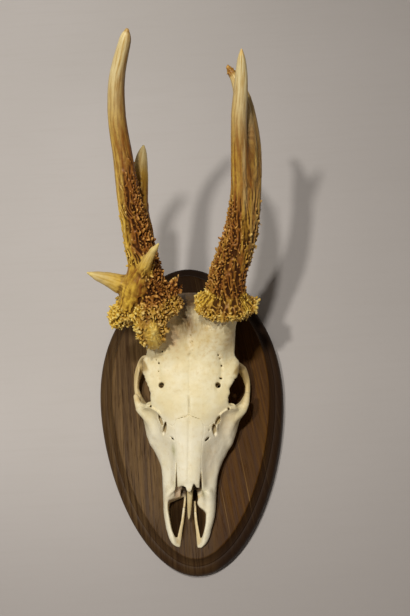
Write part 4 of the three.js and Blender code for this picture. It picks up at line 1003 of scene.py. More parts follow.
def decorate(side):
    """Chooses where the lumps, pearls and spurs of an antler stand."""
    rng = np.random.default_rng(5 if side == "left" else 6)
    s = 1 if side == "left" else -1
    p, n = scatter(side, 1.6)
    d, a, l, rho = burr_field(side, *(p[:, k] for k in range(3)))
    rim = np.exp(-((l + 0.8) / 2.6) ** 2) * smooth(0.88, 0.98, rho / burr_radius(side, a)) * (np.abs(d) < 3)
    if side == "right":
        web = Bar(WEB[0], WEB[1], 8).locate(p)
        rim = np.maximum(rim, 0.95 * (lobe_distance(side, p) < 1.2) * (l < 7) * smooth(-0.4, 0.3, n[:, 2]))
        rim = rim * (1 - drop_core(p, 3.2)) * (1 - smooth(3.0, 1.0, web[0]) * smooth(0.98, 0.8, web[1]))
    size = rng.uniform(1.2, 2.1, len(p)) * (1.0 if side == "left" else 1.12)
    for i in darts(rng, p, np.where(rim > 0.25, 2.3 * size / np.maximum(rim, 0.2), 99), 160):
        way = unit(n[i] + 0.25 * rng.normal(size=3))
        BUDS[side].append(capsule(p[i] - 0.8 * way, p[i] + 0.5 * size[i] * way, size[i], 0.85 * size[i]))
    p, n = scatter(side, 0.9)
    d, a, l, rho = burr_field(side, *(p[:, k] for k in range(3)))
    found = {k: bar.locate(p) for k, bar in BARS[side].items()}
    bd, bs, bl, ba = found["beam"]
    onbeam = np.ones(len(p), bool)
    for k, f in found.items():
        if k != "beam":
            onbeam &= f[0] > bd - 0.3
    inner = -s * n[:, 0]                               # 1 on the side that faces the other antler
    patch = noise3(p[:, 0], p[:, 1], p[:, 2], 5.0, 71)
    if side == "left":
        fade = smooth(0.46, 0.34, bs + 0.10 * smooth(0.3, -0.5, inner))
        w = onbeam * fade * (l > 9) * np.clip(0.20 + 0.80 * smooth(-0.1, 0.75, inner) + 0.25 * (patch - 0.5), 0, 1)
    else:
        fade = smooth(0.52, 0.36, bs + 0.12 * smooth(0.3, -0.3, inner))
        w = onbeam * fade * (l > 9) * np.clip(0.06 + 0.72 * smooth(-0.05, 0.8, inner) + 0.2 * (patch - 0.5), 0, 1)
    rear = found["rear"]
    w = np.maximum(w, (rear[0] < 0.8) * 0.14 * smooth(0.36, 0.15, rear[1]))
    if side == "left":                                 # a few rough spurs on the rear tine's very end
        w = np.maximum(w, 0.9 * (rear[0] < 1.0) * smooth(0.92, 0.95, rear[1]))
    spur = smooth(0.35, 0.9, inner) * onbeam
    rough = ((l < 2.2) * (l > -8) * smooth(0.88, 0.95, rho / burr_radius(side, a)) + (l < -3)) * 1.0
    if side == "right":
        web = Bar(WEB[0], WEB[1], 8).locate(p)
        webbed = smooth(3.2, 1.4, web[0]) * smooth(0.98, 0.8, web[1]) * smooth(-26, -30, p[:, 0])
        calm = 1.0 * (lobe_distance(side, p) < 2.4) * smooth(-0.7, 0.1, n[:, 2])
        rough = np.maximum(rough, calm) * (1 - drop_core(p, 1.2))
        rough = np.maximum(rough, 0.7 * (l > 1) * (l < 13) * (d < 3.5) * smooth(0.2, 0.9, inner))
        rough = rough * (1 - smooth(2.0, 0.5, found["side"][0]) * (found["side"][1] > 0.05)) * (1 - webbed)
    rough = np.clip(rough, 0, 1) * (bs < 0.3)
    face = (l >= 2.2) * (l < 12) * (d < 2) * (rho > 13)
    w = np.maximum(np.clip(np.maximum(w, rough), 0, 1), face * 0.10)
    if side == "right":
        w = w * (1 - drop_core(p, 0.8))
        w = w * (1 - 0.9 * webbed)
    big = 0.5 + 0.75 * rng.random(len(p)) ** 1.7
    big *= 1 + (0.15 if side == "left" else 0.28) * (rough > 0.5) * rng.random(len(p))
    tall = rng.uniform(0.15, 0.9, len(p)) * (0.35 + 1.7 * spur * (rng.random(len(p)) > 0.45) * smooth(0.5, 0.3, bs)) + 0.2 * rough
    chosen = darts(rng, p, np.where(w > 0.03, 1.95 * big / np.sqrt(np.maximum(w, 0.03)), 99), 3000)
    beam = BARS[side]["beam"]
    for i in chosen:
        up = beam.t[min(int(bs[i] * beam.m), beam.m)]
        way = unit(n[i] + 0.45 * rng.normal(size=3) + (0.75 * up if rough[i] < 0.3 else 0.0))
        k = 0.8 + 1.4 * tall[i]
        top = p[i] + 0.9 * k * big[i] * way
        PEARLS[side].append(capsule(p[i] - 0.5 * way, top, big[i], big[i] * (0.8 if rough[i] > 0.5 else 0.5)))
        if rng.random() < (0.55 if rough[i] < 0.3 else 0.35):          # many trail off into a short strand
            tail = p[i] - (1.5 + 2.2 * rng.random()) * unit(up + 0.35 * rng.normal(size=3)) - 0.35 * n[i]
            PEARLS[side].append(capsule(top - 0.3 * way, tail, 0.62 * big[i], 0.32))
    print("%s antler: %d lumps, %d pearls  %.1f s" % (side, len(BUDS[side]), len(PEARLS[side]), time.time() - T0))


def grain_depth(side, key, s, mm, ang):
    """How much the long grain of a bar sinks the surface, mm."""
    a = ang / (2 * math.pi)
    if key == "beam":
        amp = np.interp(s, [0, 0.08, 0.34, 0.44, 0.6, 0.9, 1], [1.0, 1.1, 1.0, 0.55, 0.28, 0.10, 0.06])
        cells, long = 15, 19.0
    elif key == "rear":
        amp = np.interp(s, [0, 0.2, 0.45, 0.75, 1], [0.75, 0.60, 0.46, 0.30, 0.12] if side == "left" else [0.6, 0.6, 0.45, 0.2, 0.06])
        cells, long = 11, 26.0
    else:
        amp = np.interp(s, [0, 0.3, 0.7, 1], [1.0, 0.62, 0.10, 0.02] if key == "front" else [0.75, 0.42, 0.10, 0.02])
        cells, long = 12, 14.0
    seed = {"beam": 3, "rear": 9, "front": 15, "side": 21}[key] + (30 if side == "left" else 0)
    twist = a + 0.05 * (noise_wrap(a, mm / 9.0, 3, seed + 1) - 0.5) + 0.0020 * mm
    g1 = noise_wrap(twist, mm / long, cells, seed)
    g2 = noise_wrap(twist + 0.31, mm / (0.5 * long), 2 * cells, seed + 2)
    g3 = noise_wrap(twist + 0.17, mm / (1.6 * long), 5, seed + 4)
    strand = np.maximum(ridge(g1, 0.30), 0.75 * ridge(g2, 0.34))
    return (amp * (1.15 * (1 - strand) + 0.9 * (g3 - 0.5))).astype(F)


def ridge(g, wide):
    """1 along the winding lines where a noise crosses its middle, falling to 0 beside them."""
    return np.clip(1 - np.abs(g - 0.5) / (0.5 * wide), 0, 1) ** 0.8


def antler_detail(A):
    """Adds grain, furrows and pearls to a block."""
    side, b = A.side, A.b
    d0 = A.base[A.idx]
    pick = np.nonzero(np.abs(d0) < 2.6)[0]
    q = A.q[pick]
    total, sink = 0, 0
    for key, f in A.found.items():
        d, s, mm, ang = (k[pick] for k in f)
        wgt = np.exp(-np.clip(d, -4, 12) / 0.9)
        sink = sink + wgt * grain_depth(side, key, s, mm, ang)
        total = total + wgt
    d, a, l, rho = (k[pick] for k in A.ring)
    wgt = np.exp(-np.clip(d, -4, 12) / 0.9) * smooth(15, 11, l)
    turn = a / (2 * math.pi) + 0.012 * (noise3(q[:, 0], q[:, 1], q[:, 2], 3.0, 81) - 0.5)
    f1 = ridge(noise_wrap(turn, rho / 10.0, 34, 5), 0.34)
    f2 = ridge(noise_wrap(turn, rho / 5.0, 72, 6), 0.40)
    sink = sink + wgt * 1.25 * (1 - np.maximum(f1, 0.7 * f2))
    total = total + wgt
    if side == "right":
        web = Bar(WEB[0], WEB[1], 14).locate(q)            # the web's own strands run down it
        c = smooth(3.4, 0.8, web[0]) * smooth(-24, -29, q[:, 0]) * smooth(0.98, 0.80, web[1])
        g = noise_wrap(web[3] / (2 * math.pi) + 0.03 * (noise3(q[:, 0], q[:, 1], q[:, 2], 3.0, 88) - 0.5), web[2] / 9.0, 15, 12)
        sink = sink * (1 - c) + c * total * 0.75 * (1 - ridge(g, 0.55))
        # filaments fan out over the hanging lobe
        c = drop_core(q)
        fan, out = np.arctan2(q[:, 1] - 31.5, q[:, 0] + 23.6), np.hypot(q[:, 0] + 23.6, q[:, 1] - 31.5)
        g = noise_wrap(fan / (2 * math.pi) + 0.02 * (noise3(q[:, 0], q[:, 1], q[:, 2], 2.5, 87) - 0.5), out / 4.0, 22, 8)
        sink = sink * (1 - c) + c * total * 0.62 * (1 - ridge(g, 0.6)) * smooth(0.6, 2.2, out)
    sink = sink / total
    fine = 0.2 * (noise3(q[:, 0], q[:, 1], q[:, 2], 1.4, 82) - 0.5) + 0.4 * (noise3(q[:, 0], q[:, 1], q[:, 2], 3.5, 83) - 0.5)
    bs = A.found["beam"][1][pick] if "beam" in A.found else BARS[side]["beam"].locate(q)[1]
    fine = fine * smooth(0.58, 0.3, bs) + 0.12 * (noise3(q[:, 0], q[:, 1], q[:, 2], 5, 84) - 0.5)
    at = tuple(k[pick] for k in A.idx)
    b.d[at] += (sink - 0.4 * smooth(0.9, 0.1, sink) * np.minimum(1, 4 * sink) + fine).astype(F)
    for lo2, hi2, fn in PEARLS[side]:
        put(b, lo2, hi2, fn, 0.45)
    # pearls and burrs are crumbled, with winding crests
    d1 = b.d[A.idx]
    pick = np.nonzero(np.abs(d1) < 1.2)[0]
    q = A.q[pick]
    bs = A.found["beam"][1][pick] if "beam" in A.found else BARS[side]["beam"].locate(q)[1]
    l = A.ring[2][pick]
    worm = noise3(q[:, 0], q[:, 1], q[:, 2], 1.9, 85)
    chip = noise3(q[:, 0], q[:, 1], q[:, 2], 1.05, 86)
    proud = smooth(0.1, -0.7, d1[pick] - A.base[A.idx][pick])
    strength = np.maximum(0.25, smooth(12, 4, l)) * smooth(0.5, 0.4, bs) * np.maximum(proud, 0.5)
    at = tuple(k[pick] for k in A.idx)
    b.d[at] += (strength * (0.55 * (chip - 0.5) - 0.42 * (ridge(worm, 0.42) - 0.35))).astype(F)


def horn_attributes(A, p):
    side, b = A.side, A.b
    s = 1 if side == "left" else -1
    rise = b.sample(A.base, p)
    bend = b.sample(b.blur(np.clip(b.d, -2.5, 2.5), 1.1), p)
    n = gradient(b, b.blur(np.clip(A.base, -3, 3), 1.5), p)
    found = {k: bar.locate(p) for k, bar in BARS[side].items()}
    bd, bs, bl, ba = found["beam"]
    d, a, l, rho = burr_field(side, *(p[:, k].astype(F) for k in range(3)))
    least = np.minimum.reduce([g[0] for g in found.values()])
    near = {k: np.clip(1 - (f[0] - least) / 2.0, 0, 1) for k, f in found.items()}
    inner = -s * n[:, 0]
    wave = noise3(p[:, 0] * 2, p[:, 1] * 0.4, p[:, 2] * 0.4, 3.0, 91) - 0.5
    if side == "left":
        up = smooth(0.37, 0.47, bs + 0.10 * wave - 0.03 * inner)
        gold = 0.14 + 0.34 * smooth(0.2, -0.7, inner) * smooth(0.15, 0.35, bs) + 0.08 * smooth(0.2, 0.9, inner)
        gold = gold * (1 - up) + up * (0.31 + 0.14 * inner)
        pale = up * (0.04 + 0.96 * smooth(0.57, 0.90, bs)) * (1 - 0.45 * smooth(0.2, 0.9, inner) * smooth(0.95, 0.75, bs))
        gold = gold * (1 - near["rear"]) + near["rear"] * (0.34 + 0.20 * smooth(0.5, 1.0, found["rear"][1]))
        # painted highlight: a pale streak down the front of the left beam
        painted_highlight = np.exp(-((ba + 1.0) / 0.26) ** 2) * smooth(0.34, 0.46, bs) * smooth(0.92, 0.75, bs) * (1 - near["rear"])
        pale = np.maximum(pale, 0.42 * painted_highlight)
        end = smooth(0.90, 0.95, found["rear"][1])
        pale = pale * (1 - near["rear"]) + near["rear"] * (0.12 + 0.45 * smooth(0.45, 0.85, found["rear"][1])) * (1 - end)
        gold = gold * (1 - near["rear"] * end * 0.6)
        face = smooth(13.5, 9.5, l) * smooth(-0.1, 0.6, inner) + 0.75 * smooth(13, 9, l) * smooth(-0.4, -0.8, inner)
        gold = np.maximum(gold, 0.85 * face * (rho > 12.5) * smooth(-3, 1, l))
        gold = np.maximum(gold, np.maximum(0.50 * smooth(2.5, 0.5, l), 0.36 * smooth(13, 8, l)))
    else:
        up = smooth(0.38, 0.66, bs + 0.16 * wave + 0.16 * smooth(0.2, -0.6, inner))
        # the outer side, towards the lamps, is golden and the upper beam pale there, the inner side darker: the
        # antler's own two tones with painted light and shade on top
        gold = 0.08 + 0.56 * smooth(0.05, -0.65, inner)
        gold = gold * (1 - up) + up * (0.38 - 0.16 * inner)
        pale = up * (0.10 + 0.90 * smooth(0.55, 0.86, bs)) * (1 - 0.6 * smooth(0.0, 0.8, inner)) * (1 - 0.7 * smooth(0.965, 1.0, bs))
        gold = gold * (1 - near["rear"]) + near["rear"] * (0.24 + 0.3 * smooth(0.4, 0.7, found["rear"][1]))
        pale = pale * (1 - near["rear"]) + near["rear"] * (0.85 * smooth(0.58, 0.95, found["rear"][1]))
        for k, g0, g1, p1 in (("side", 0.46, 0.92, 0.72), ("front", 0.22, 0.95, 0.62)):
            g = g0 + (g1 - g0) * smooth(0.1, 0.6, found[k][1])
            gold = gold * (1 - near[k]) + near[k] * g
            pale = pale * (1 - near[k]) + near[k] * p1 * smooth(0.25, 0.95, found[k][1])
        lobe = np.exp(-(((p[:, 0] + 23.8) / 7.0) ** 2 + ((p[:, 1] - 30.5) / 10.0) ** 2)) * (p[:, 2] > 60)
        gold = np.maximum(gold, lobe)
        pale = np.maximum(pale, 0.20 * lobe * lobe)
        bend = np.where(bend < 0, bend * (1 - 0.80 * lobe), bend) + 0.20 * lobe ** 2
        web = Bar(WEB[0], WEB[1], 8).locate(p)
        web = smooth(3.4, 0.8, web[0]) * smooth(-24, -29, p[:, 0]) * smooth(0.98, 0.80, web[1])
        dusk = noise3(p[:, 0], p[:, 1], p[:, 2], 3.2, 93) - 0.5
        gold = gold * (1 - web) + (0.26 + 0.34 * smooth(-33, -42, p[:, 0]) + 0.5 * dusk) * web
        bend = bend * (1 - 0.35 * web)
        gold = np.maximum(gold, 0.85 * smooth(-42, -50, p[:, 0]) * (l < 9))
        gold = np.maximum(gold, (0.36 + 0.2 * smooth(-20, -40, p[:, 0])) * smooth(9, 6, l))
    bend = bend * (1 - 0.42 * smooth(0.36, 0.52, bs) * (bend < 0))
    mm = np.where(near["rear"] > 0.5, found["rear"][2], bl)
    ang = np.where(near["rear"] > 0.5, found["rear"][3], ba)
    for k in ("side", "front"):
        if k in found:
            mm, ang = np.where(near[k] > 0.5, found[k][2], mm), np.where(near[k] > 0.5, found[k][3], ang)
    return {"rise": np.clip(rise / 2.2, -1, 1), "bend": np.clip(bend / 0.45, -1, 1), "gold": np.clip(gold, 0, 1),
            "pale": np.clip(pale, 0, 1), "along": mm, "turn": ang}


HORN_BOXES = {
    "right": dict(coronet=((-61, 18, 50), (2, 92, 100)), beam_lower=((-56, 48, 70), (-8, 116, 131)), beam_upper=((-54, 96, 106), (-25, 194, 212)),
                  tine_rear=((-46, 80, 86), (-21, 166, 126)), tine_front=((-44, 54, 82), (-13, 86, 130)), tine_side=((-73, 50, 72), (-26, 80, 111))),
    "left": dict(coronet=((-3, 30, 46), (54, 92, 100)), beam_lower=((4, 46, 68), (52, 116, 128)), beam_upper=((24, 94, 100), (53, 184, 206)),
                 tine_rear=((22, 76, 84), (56, 201, 164))),
}


def antler_pieces(side, material):
    decorate(side)
    tines = [k for k in ("front", "side", "rear") if k in BARS[side]]
    c, t, u, v = burr_frame(side)
    pts = (LEFT if side == "left" else RIGHT)["beam"][0]
    fp = spline(pts, np.array([FORK]) * (len(pts) - 1))[0]
    fq = spline(pts, np.array([FORK - 0.01, FORK + 0.01]) * (len(pts) - 1))
    ft = unit(fq[1] - fq[0])
    for part, (lo, hi) in HORN_BOXES[side].items():
        A = Antler(side, lo, hi, HORN_STEP)
        antler_detail(A)
        q = A.q
        wob = noise3(q[:, 0], q[:, 1], q[:, 2], 2.3, 61) - 0.5
        burr = ((q - c) @ t - BURR_T * 0.78 + 1.2 * wob).astype(F)
        fork = ((q - fp) @ ft + 2.0 * wob).astype(F)
        body = A.found["beam"][0] if "beam" in A.found else np.full(len(q), 30.0, F)
        stem = np.minimum(body, A.ring[0] + 0.5)
        if side == "right":
            stem = np.minimum(stem, Bar(LUMP[0], LUMP[1], 8).locate(q)[0] + 0.8)
        tine = {}
        for k in tines:
            d = A.found[k][0] if k in A.found else np.full(len(q), 30.0, F)
            other = body if k == "rear" else stem
            for j in ("front", "side"):
                if j != k and j in A.found and k != "rear":
                    other = np.minimum(other, A.found[j][0])
            tine[k] = (0.5 * (d - other + 0.8 * wob)).astype(F)
        args = [A.b.d[A.idx]]
        if part == "coronet":
            args += [(burr,)] + [(-tine[k],) for k in tines if k == "side"]
        elif part.startswith("beam"):
            args += [-burr] + [(-tine[k],) for k in tines] + ([(fork,)] if part == "beam_lower" else [-fork])
        else:
            key = part[5:]
            args += [tine[key]] + ([] if key == "side" else [-burr])
        out = np.full(A.b.n, 6.0, F)
        out[A.idx] = claim(*args)
        p, f = polygonise(A.b, out)
        o = mesh_object("horn_%s_%s" % (side, part), to_world(p), f, horn_attributes(A, p), material)
        finish_piece(o, ["antler_%s_%s" % (side, part)])


# ================================================================== shield, mm in the row frame
def shield_outline(inset, n):
    a = 2 * math.pi * np.arange(n) / n
    c = np.cos(a)
    w = 71.9 + 11.1 * c - 1.75 * c ** 2 - 10.0 * c ** 3 - 8.2 * c ** 4
    p = np.stack([np.sin(a) * w, 123.0 * c], 1)
    e = np.roll(p, -1, 0) - np.roll(p, 1, 0)
    nn = np.stack([e[:, 1], -e[:, 0]], 1)
    nn /= np.linalg.norm(nn, axis=1, keepdims=True)
    nn[(nn * p).sum(1) > 0] *= -1
    return p + nn * inset


def shield_profile():
    """(inset, height) round the edge: back, quarter-round, small step, cove and bead."""
    q = [(1.0, 0.0), (0.35, 0.25), (0.0, 0.9), (0.0, 4.0), (0.0, 7.0)]
    q += [(6.0 - 6.0 * math.cos(f), 7.0 + 6.0 * math.sin(f)) for f in np.radians([10, 20, 30, 40, 50, 60, 70, 78, 84, 88])]
    q += [(6.15, 13.0), (6.3, 13.05), (6.42, 13.3), (6.5, 13.8), (6.65, 14.05), (6.95, 14.15)]
    cove = spline([(6.9, 14.1, 0), (8.2, 14.8, 0), (9.3, 15.9, 0), (10.2, 17.4, 0), (10.75, 19.0, 0), (10.9, 19.45, 0)], np.linspace(0.3, 5, 12))
    q += [(c[0], c[1]) for c in cove]
    q += [(11.05, 19.72), (11.3, 19.9), (11.65, 19.98), (12.1, 20.0), (13.0, 20.0), (15.0, 20.0)]
    return q


def build_shield(material):
    n = 480
    loops = [np.column_stack([shield_outline(i, n), np.full(n, h)]) for i, h in shield_profile()]
    # face: shrinking rings, very slightly uneven
    last = loops[-1]
    mid = np.array([0.0, 6.0])
    for k in np.linspace(0.94, 0.03, 34):
        loops.append(np.column_stack([mid + (last[:, :2] - mid) * k, np.full(n, 20.0)]))
    # back: rings that close in on the nail hole, its wall and its floor
    hole = np.array([0.0, 78.0])
    first = loops[0]
    way = first[:, :2] - hole
    way /= np.linalg.norm(way, axis=1, keepdims=True)
    rim = hole + way * 5.0
    back = [np.column_stack([rim + (first[:, :2] - rim) * k, np.zeros(n)]) for k in (0.9, 0.7, 0.5, 0.3, 0.1, 0.0)]
    back += [np.column_stack([rim, np.full(n, d)]) for d in (0.4, 4, 8, 11.6)]
    back += [np.column_stack([hole + way * r, np.full(n, 12.0)]) for r in (4.6, 2.0, 0.4)]
    loops = back[::-1] + loops
    p = np.vstack(loops)
    m = len(loops)
    j = np.arange(n)
    j2 = (j + 1) % n
    quads = [np.column_stack([i * n + j, i * n + j2, (i + 1) * n + j2, (i + 1) * n + j]) for i in range(m - 1)]
    # each end is closed by a fan of quads about the first corner of its loop
    e = np.arange(1, n - 2, 2)
    z = (m - 1) * n
    quads.append(np.column_stack([0 * e, e + 2, e + 1, e]))
    quads.append(np.column_stack([0 * e + z, z + e, z + e + 1, z + e + 2]))
    q = np.vstack(quads)
    x, zz, h = p[:, 0], p[:, 1], p[:, 2]
    pts = np.stack([x, -h, zz], 1) * 1e-3
    # grain: close and upright on the animal's right, slanting lines on its left
    side = smooth(-12, 14, x + 0.1 * zz)
    gu = x + (0.02 + 0.12 * side) * zz + (1 - side) * (2.0 * np.sin(zz / 37.0 + 0.6) + 0.8 * np.sin(zz / 19.0 + x / 21.0))
    edge = smooth(19.0, 14.0, h) * (h > 0.5)
    # painted shadow: darker patches in the nose openings and under the muzzle, where the skull shades the board
    muzzle_shadow_spots = ((-13.2, -83, 6.0, 15), (2.8, -84, 4.8, 14), (-5.4, -66, 11, 9))
    under = np.maximum.reduce([np.exp(-(((x - a) / c) ** 2 + ((zz - e) / g) ** 2) ** 2) for a, e, c, g in muzzle_shadow_spots]) * (h > 19)
    o = mesh_object("board_oak", pts, orient(pts, q), {"gu": gu, "gv": zz, "right": side, "rim": edge, "under": under}, material)
    finish_piece(o, ["board"])


def orient(p, q):
    """Turns every face the way round that makes the whole volume positive."""
    a, c, e, f = (p[q[:, k]] for k in range(4))
    vol = np.einsum("ij,ij->i", a, np.cross(c, e)).sum() + np.einsum("ij,ij->i", a, np.cross(e, f)).sum()
    return q if vol > 0 else q[:, ::-1]


# ================================================================== materials
class Nodes:
    """A material's node tree, built a node at a time."""

    def __init__(self, name):
        self.mat = bpy.data.materials.new(name)
        self.mat.use_nodes = True
        self.tree = self.mat.node_tree
        self.tree.nodes.clear()
        self.out = self.tree.nodes.new("ShaderNodeOutputMaterial")

    def put(self, sock, v):
        if isinstance(v, bpy.types.NodeSocket):
            self.tree.links.new(v, sock)
        elif isinstance(v, (tuple, list)):
            sock.default_value = tuple(v) + (1.0,) if sock.type == "RGBA" and len(v) == 3 else tuple(v)
        else:
            sock.default_value = v

    def node(self, kind, **props):
        n = self.tree.nodes.new(kind)
        for k, v in props.items():
            setattr(n, k, v)
        return n

    def attr(self, name):
        return self.node("ShaderNodeAttribute", attribute_type="GEOMETRY", attribute_name=name).outputs["Fac"]

    def math(self, op, a, b=0.0, clamp=False):
        n = self.node("ShaderNodeMath", operation=op, use_clamp=clamp)
        self.put(n.inputs[0], a)
        self.put(n.inputs[1], b)
        return n.outputs[0]

    def ramp(self, v, a, b, c=0.0, d=1.0):
        """Maps a..b to c..d, smoothly and clamped."""
        n = self.node("ShaderNodeMapRange", interpolation_type="SMOOTHSTEP", clamp=True)
        for k, w in enumerate((v, a, b, c, d)):
            self.put(n.inputs[k], w)
        return n.outputs[0]

    def mix(self, f, a, b, how="MIX"):
        n = self.node("ShaderNodeMix", data_type="RGBA", blend_type=how, clamp_factor=True)
        self.put(n.inputs[0], f)
        self.put(n.inputs[6], a)
        self.put(n.inputs[7], b)
        return n.outputs[2]

    def vector(self, x, y, z):
        n = self.node("ShaderNodeCombineXYZ")
        for k, v in enumerate((x, y, z)):
            self.put(n.inputs[k], v)
        return n.outputs[0]

    def place(self, size=(1.0, 1.0, 1.0)):
        """Where a point lies, in mm divided by size."""
        c = self.node("ShaderNodeTexCoord")
        m = self.node("ShaderNodeMapping")
        self.tree.links.new(c.outputs["Object"], m.inputs[0])
        m.inputs["Scale"].default_value = tuple(1000.0 / s for s in size)
        return m.outputs[0]

    def noise(self, where, detail=3.0, rough=0.55, scale=1.0, warp=0.0):
        n = self.node("ShaderNodeTexNoise")
        self.put(n.inputs["Vector"], where)
        n.inputs["Scale"].default_value = scale
        n.inputs["Detail"].default_value = detail
        n.inputs["Roughness"].default_value = rough
        n.inputs["Distortion"].default_value = warp
        return n.outputs[0]

    def shader(self, colour, rough, bump=None, strength=0.3, depth=0.0002, **extra):
        p = self.node("ShaderNodeBsdfPrincipled")
        self.put(p.inputs["Base Color"], colour)
        self.put(p.inputs["Roughness"], rough)
        for k, v in extra.items():
            self.put(p.inputs[k.replace("_", " ")], v)
        if bump is not None:
            b = self.node("ShaderNodeBump")
            b.inputs["Strength"].default_value = strength
            b.inputs["Distance"].default_value = depth
            self.put(b.inputs["Height"], bump)
            self.tree.links.new(b.outputs[0], p.inputs["Normal"])
        self.tree.links.new(p.outputs[0], self.out.inputs[0])
        return self.mat


def bone_material():
    m = Nodes("old_bone")
    blotch = m.noise(m.place((14, 14, 14)), 4, 0.6)
    mottle = m.noise(m.place((3.2, 3.2, 3.2)), 4, 0.6)
    grit = m.noise(m.place((0.7, 0.7, 0.7)), 3, 0.6)
    streak = m.noise(m.place((1.6, 6, 9)), 4, 0.6)
    c = m.mix(m.ramp(blotch, 0.35, 0.68), (0.850, 0.735, 0.430), (0.900, 0.822, 0.560))
    c = m.mix(m.math("MULTIPLY", m.attr("fair"), m.ramp(blotch, 0.2, 0.6, 0.45, 0.85)), c, (0.920, 0.865, 0.680))
    c = m.mix(m.ramp(mottle, 0.50, 0.78, 0, 0.40), c, (0.74, 0.59, 0.32))
    c = m.mix(m.ramp(streak, 0.55, 0.80, 0, 0.25), c, (0.66, 0.49, 0.25))
    e = m.math("ADD", m.attr("edge"), m.ramp(mottle, 0.3, 0.8, -0.2, 0.2))
    c = m.mix(m.ramp(e, 0.08, 0.85, 0, 0.72), c, (0.64, 0.43, 0.130))
    c = m.mix(m.ramp(m.attr("bend"), 0.05, 0.8, 0, 0.30), c, (0.92, 0.82, 0.55))
    c = m.mix(m.math("MULTIPLY", m.attr("pink"), m.ramp(mottle, 0.2, 0.7, 0.5, 0.95)), c, (0.66, 0.42, 0.25))
    c = m.mix(m.math("MULTIPLY", m.attr("green"), m.ramp(mottle, 0.3, 0.7, 0.5, 0.95)), c, (0.40, 0.39, 0.15))
    # braincase colour from the grey attribute, partly painted shade
    g = m.mix(m.ramp(mottle, 0.3, 0.72), (0.086, 0.036, 0.006), (0.205, 0.108, 0.024))
    c = m.mix(m.math("MULTIPLY", m.attr("grey"), m.ramp(blotch, 0.2, 0.7, 0.8, 1.0)), c, g)
    c = m.mix(m.math("MULTIPLY", m.attr("brown"), m.ramp(streak, 0.25, 0.7, 0.6, 1.0)), c, (0.120, 0.058, 0.010))
    # painted shade in creases and deep recesses, from the deep attribute
    c = m.mix(m.ramp(m.attr("deep"), 0.05, 1.0, 0, 0.93), c, (0.075, 0.038, 0.012))
    c = m.mix(m.ramp(grit, 0.60, 0.78, 0, 0.20), c, (0.36, 0.24, 0.10))
    bump = m.math("ADD", m.math("MULTIPLY", grit, 0.5), mottle)
    return m.shader(c, m.ramp(mottle, 0.2, 0.8, 0.42, 0.60), bump, 0.22, 0.0004, Specular_IOR_Level=0.35)


def horn_material():
    m = Nodes("antler")
    where = m.vector(m.math("MULTIPLY", m.attr("turn"), 2.2), m.math("MULTIPLY", m.attr("along"), 0.030), 0.0)
    strand = m.noise(where, 4, 0.60, 1.6)
    mottle = m.noise(m.place((3.0, 3.0, 3.0)), 4, 0.6)
    grit = m.noise(m.place((0.8, 0.8, 0.8)), 3, 0.6)
    gold, pale = m.attr("gold"), m.attr("pale")
    tone = m.math("ADD", gold, m.ramp(strand, 0.3, 0.7, -0.22, 0.22))
    low = m.mix(m.ramp(tone, 0.05, 0.95), (0.085, 0.026, 0.004), (0.36, 0.185, 0.014))
    body = m.mix(m.ramp(tone, 0.05, 0.95), (0.265, 0.095, 0.014), (0.740, 0.480, 0.060))
    c = m.mix(m.ramp(m.attr("bend"), -0.50, 0.25), low, body)
    c = m.mix(m.ramp(mottle, 0.45, 0.75, 0, 0.40), c, low)
    # pale upper beam and tips, streaked along
    ivory = m.mix(m.ramp(strand, 0.30, 0.60), (0.56, 0.350, 0.085), (0.86, 0.730, 0.400))
    c = m.mix(pale, c, ivory)
    # rubbed, bright crests, partly painted glints; dark dirt in the cracks
    crest = m.math("ADD", m.attr("bend"), m.math("MULTIPLY", m.attr("rise"), 0.6))
    wear_and_glint = m.math("MULTIPLY", m.ramp(crest, 0.45, 1.25), m.ramp(mottle, 0.42, 0.62, 0.05, 1.0))
    c = m.mix(m.math("MULTIPLY", wear_and_glint, 0.92), c, m.mix(m.ramp(gold, 0.05, 0.7), (0.80, 0.42, 0.100), (0.95, 0.78, 0.27)))
    crack = m.ramp(m.attr("bend"), -0.12, -0.72)
    c = m.mix(m.math("MULTIPLY", m.math("MULTIPLY", crack, m.ramp(pale, 0, 1, 0.92, 0.35)), m.ramp(gold, 0.1, 1, 1.0, 0.62)), c, (0.040, 0.011, 0.001))
    c = m.mix(m.ramp(grit, 0.60, 0.80, 0, 0.30), c, (0.08, 0.034, 0.008))
    bump = m.math("ADD", m.math("MULTIPLY", grit, 0.4), m.math("MULTIPLY", strand, 1.2))
    dull = m.math("MAXIMUM", m.ramp(mottle, 0.2, 0.8, 0.32, 0.48), m.ramp(m.attr("bend"), 0.10, -0.35, 0.32, 0.95))
    return m.shader(c, dull, bump, 0.32, 0.0004, Specular_IOR_Level=0.20)


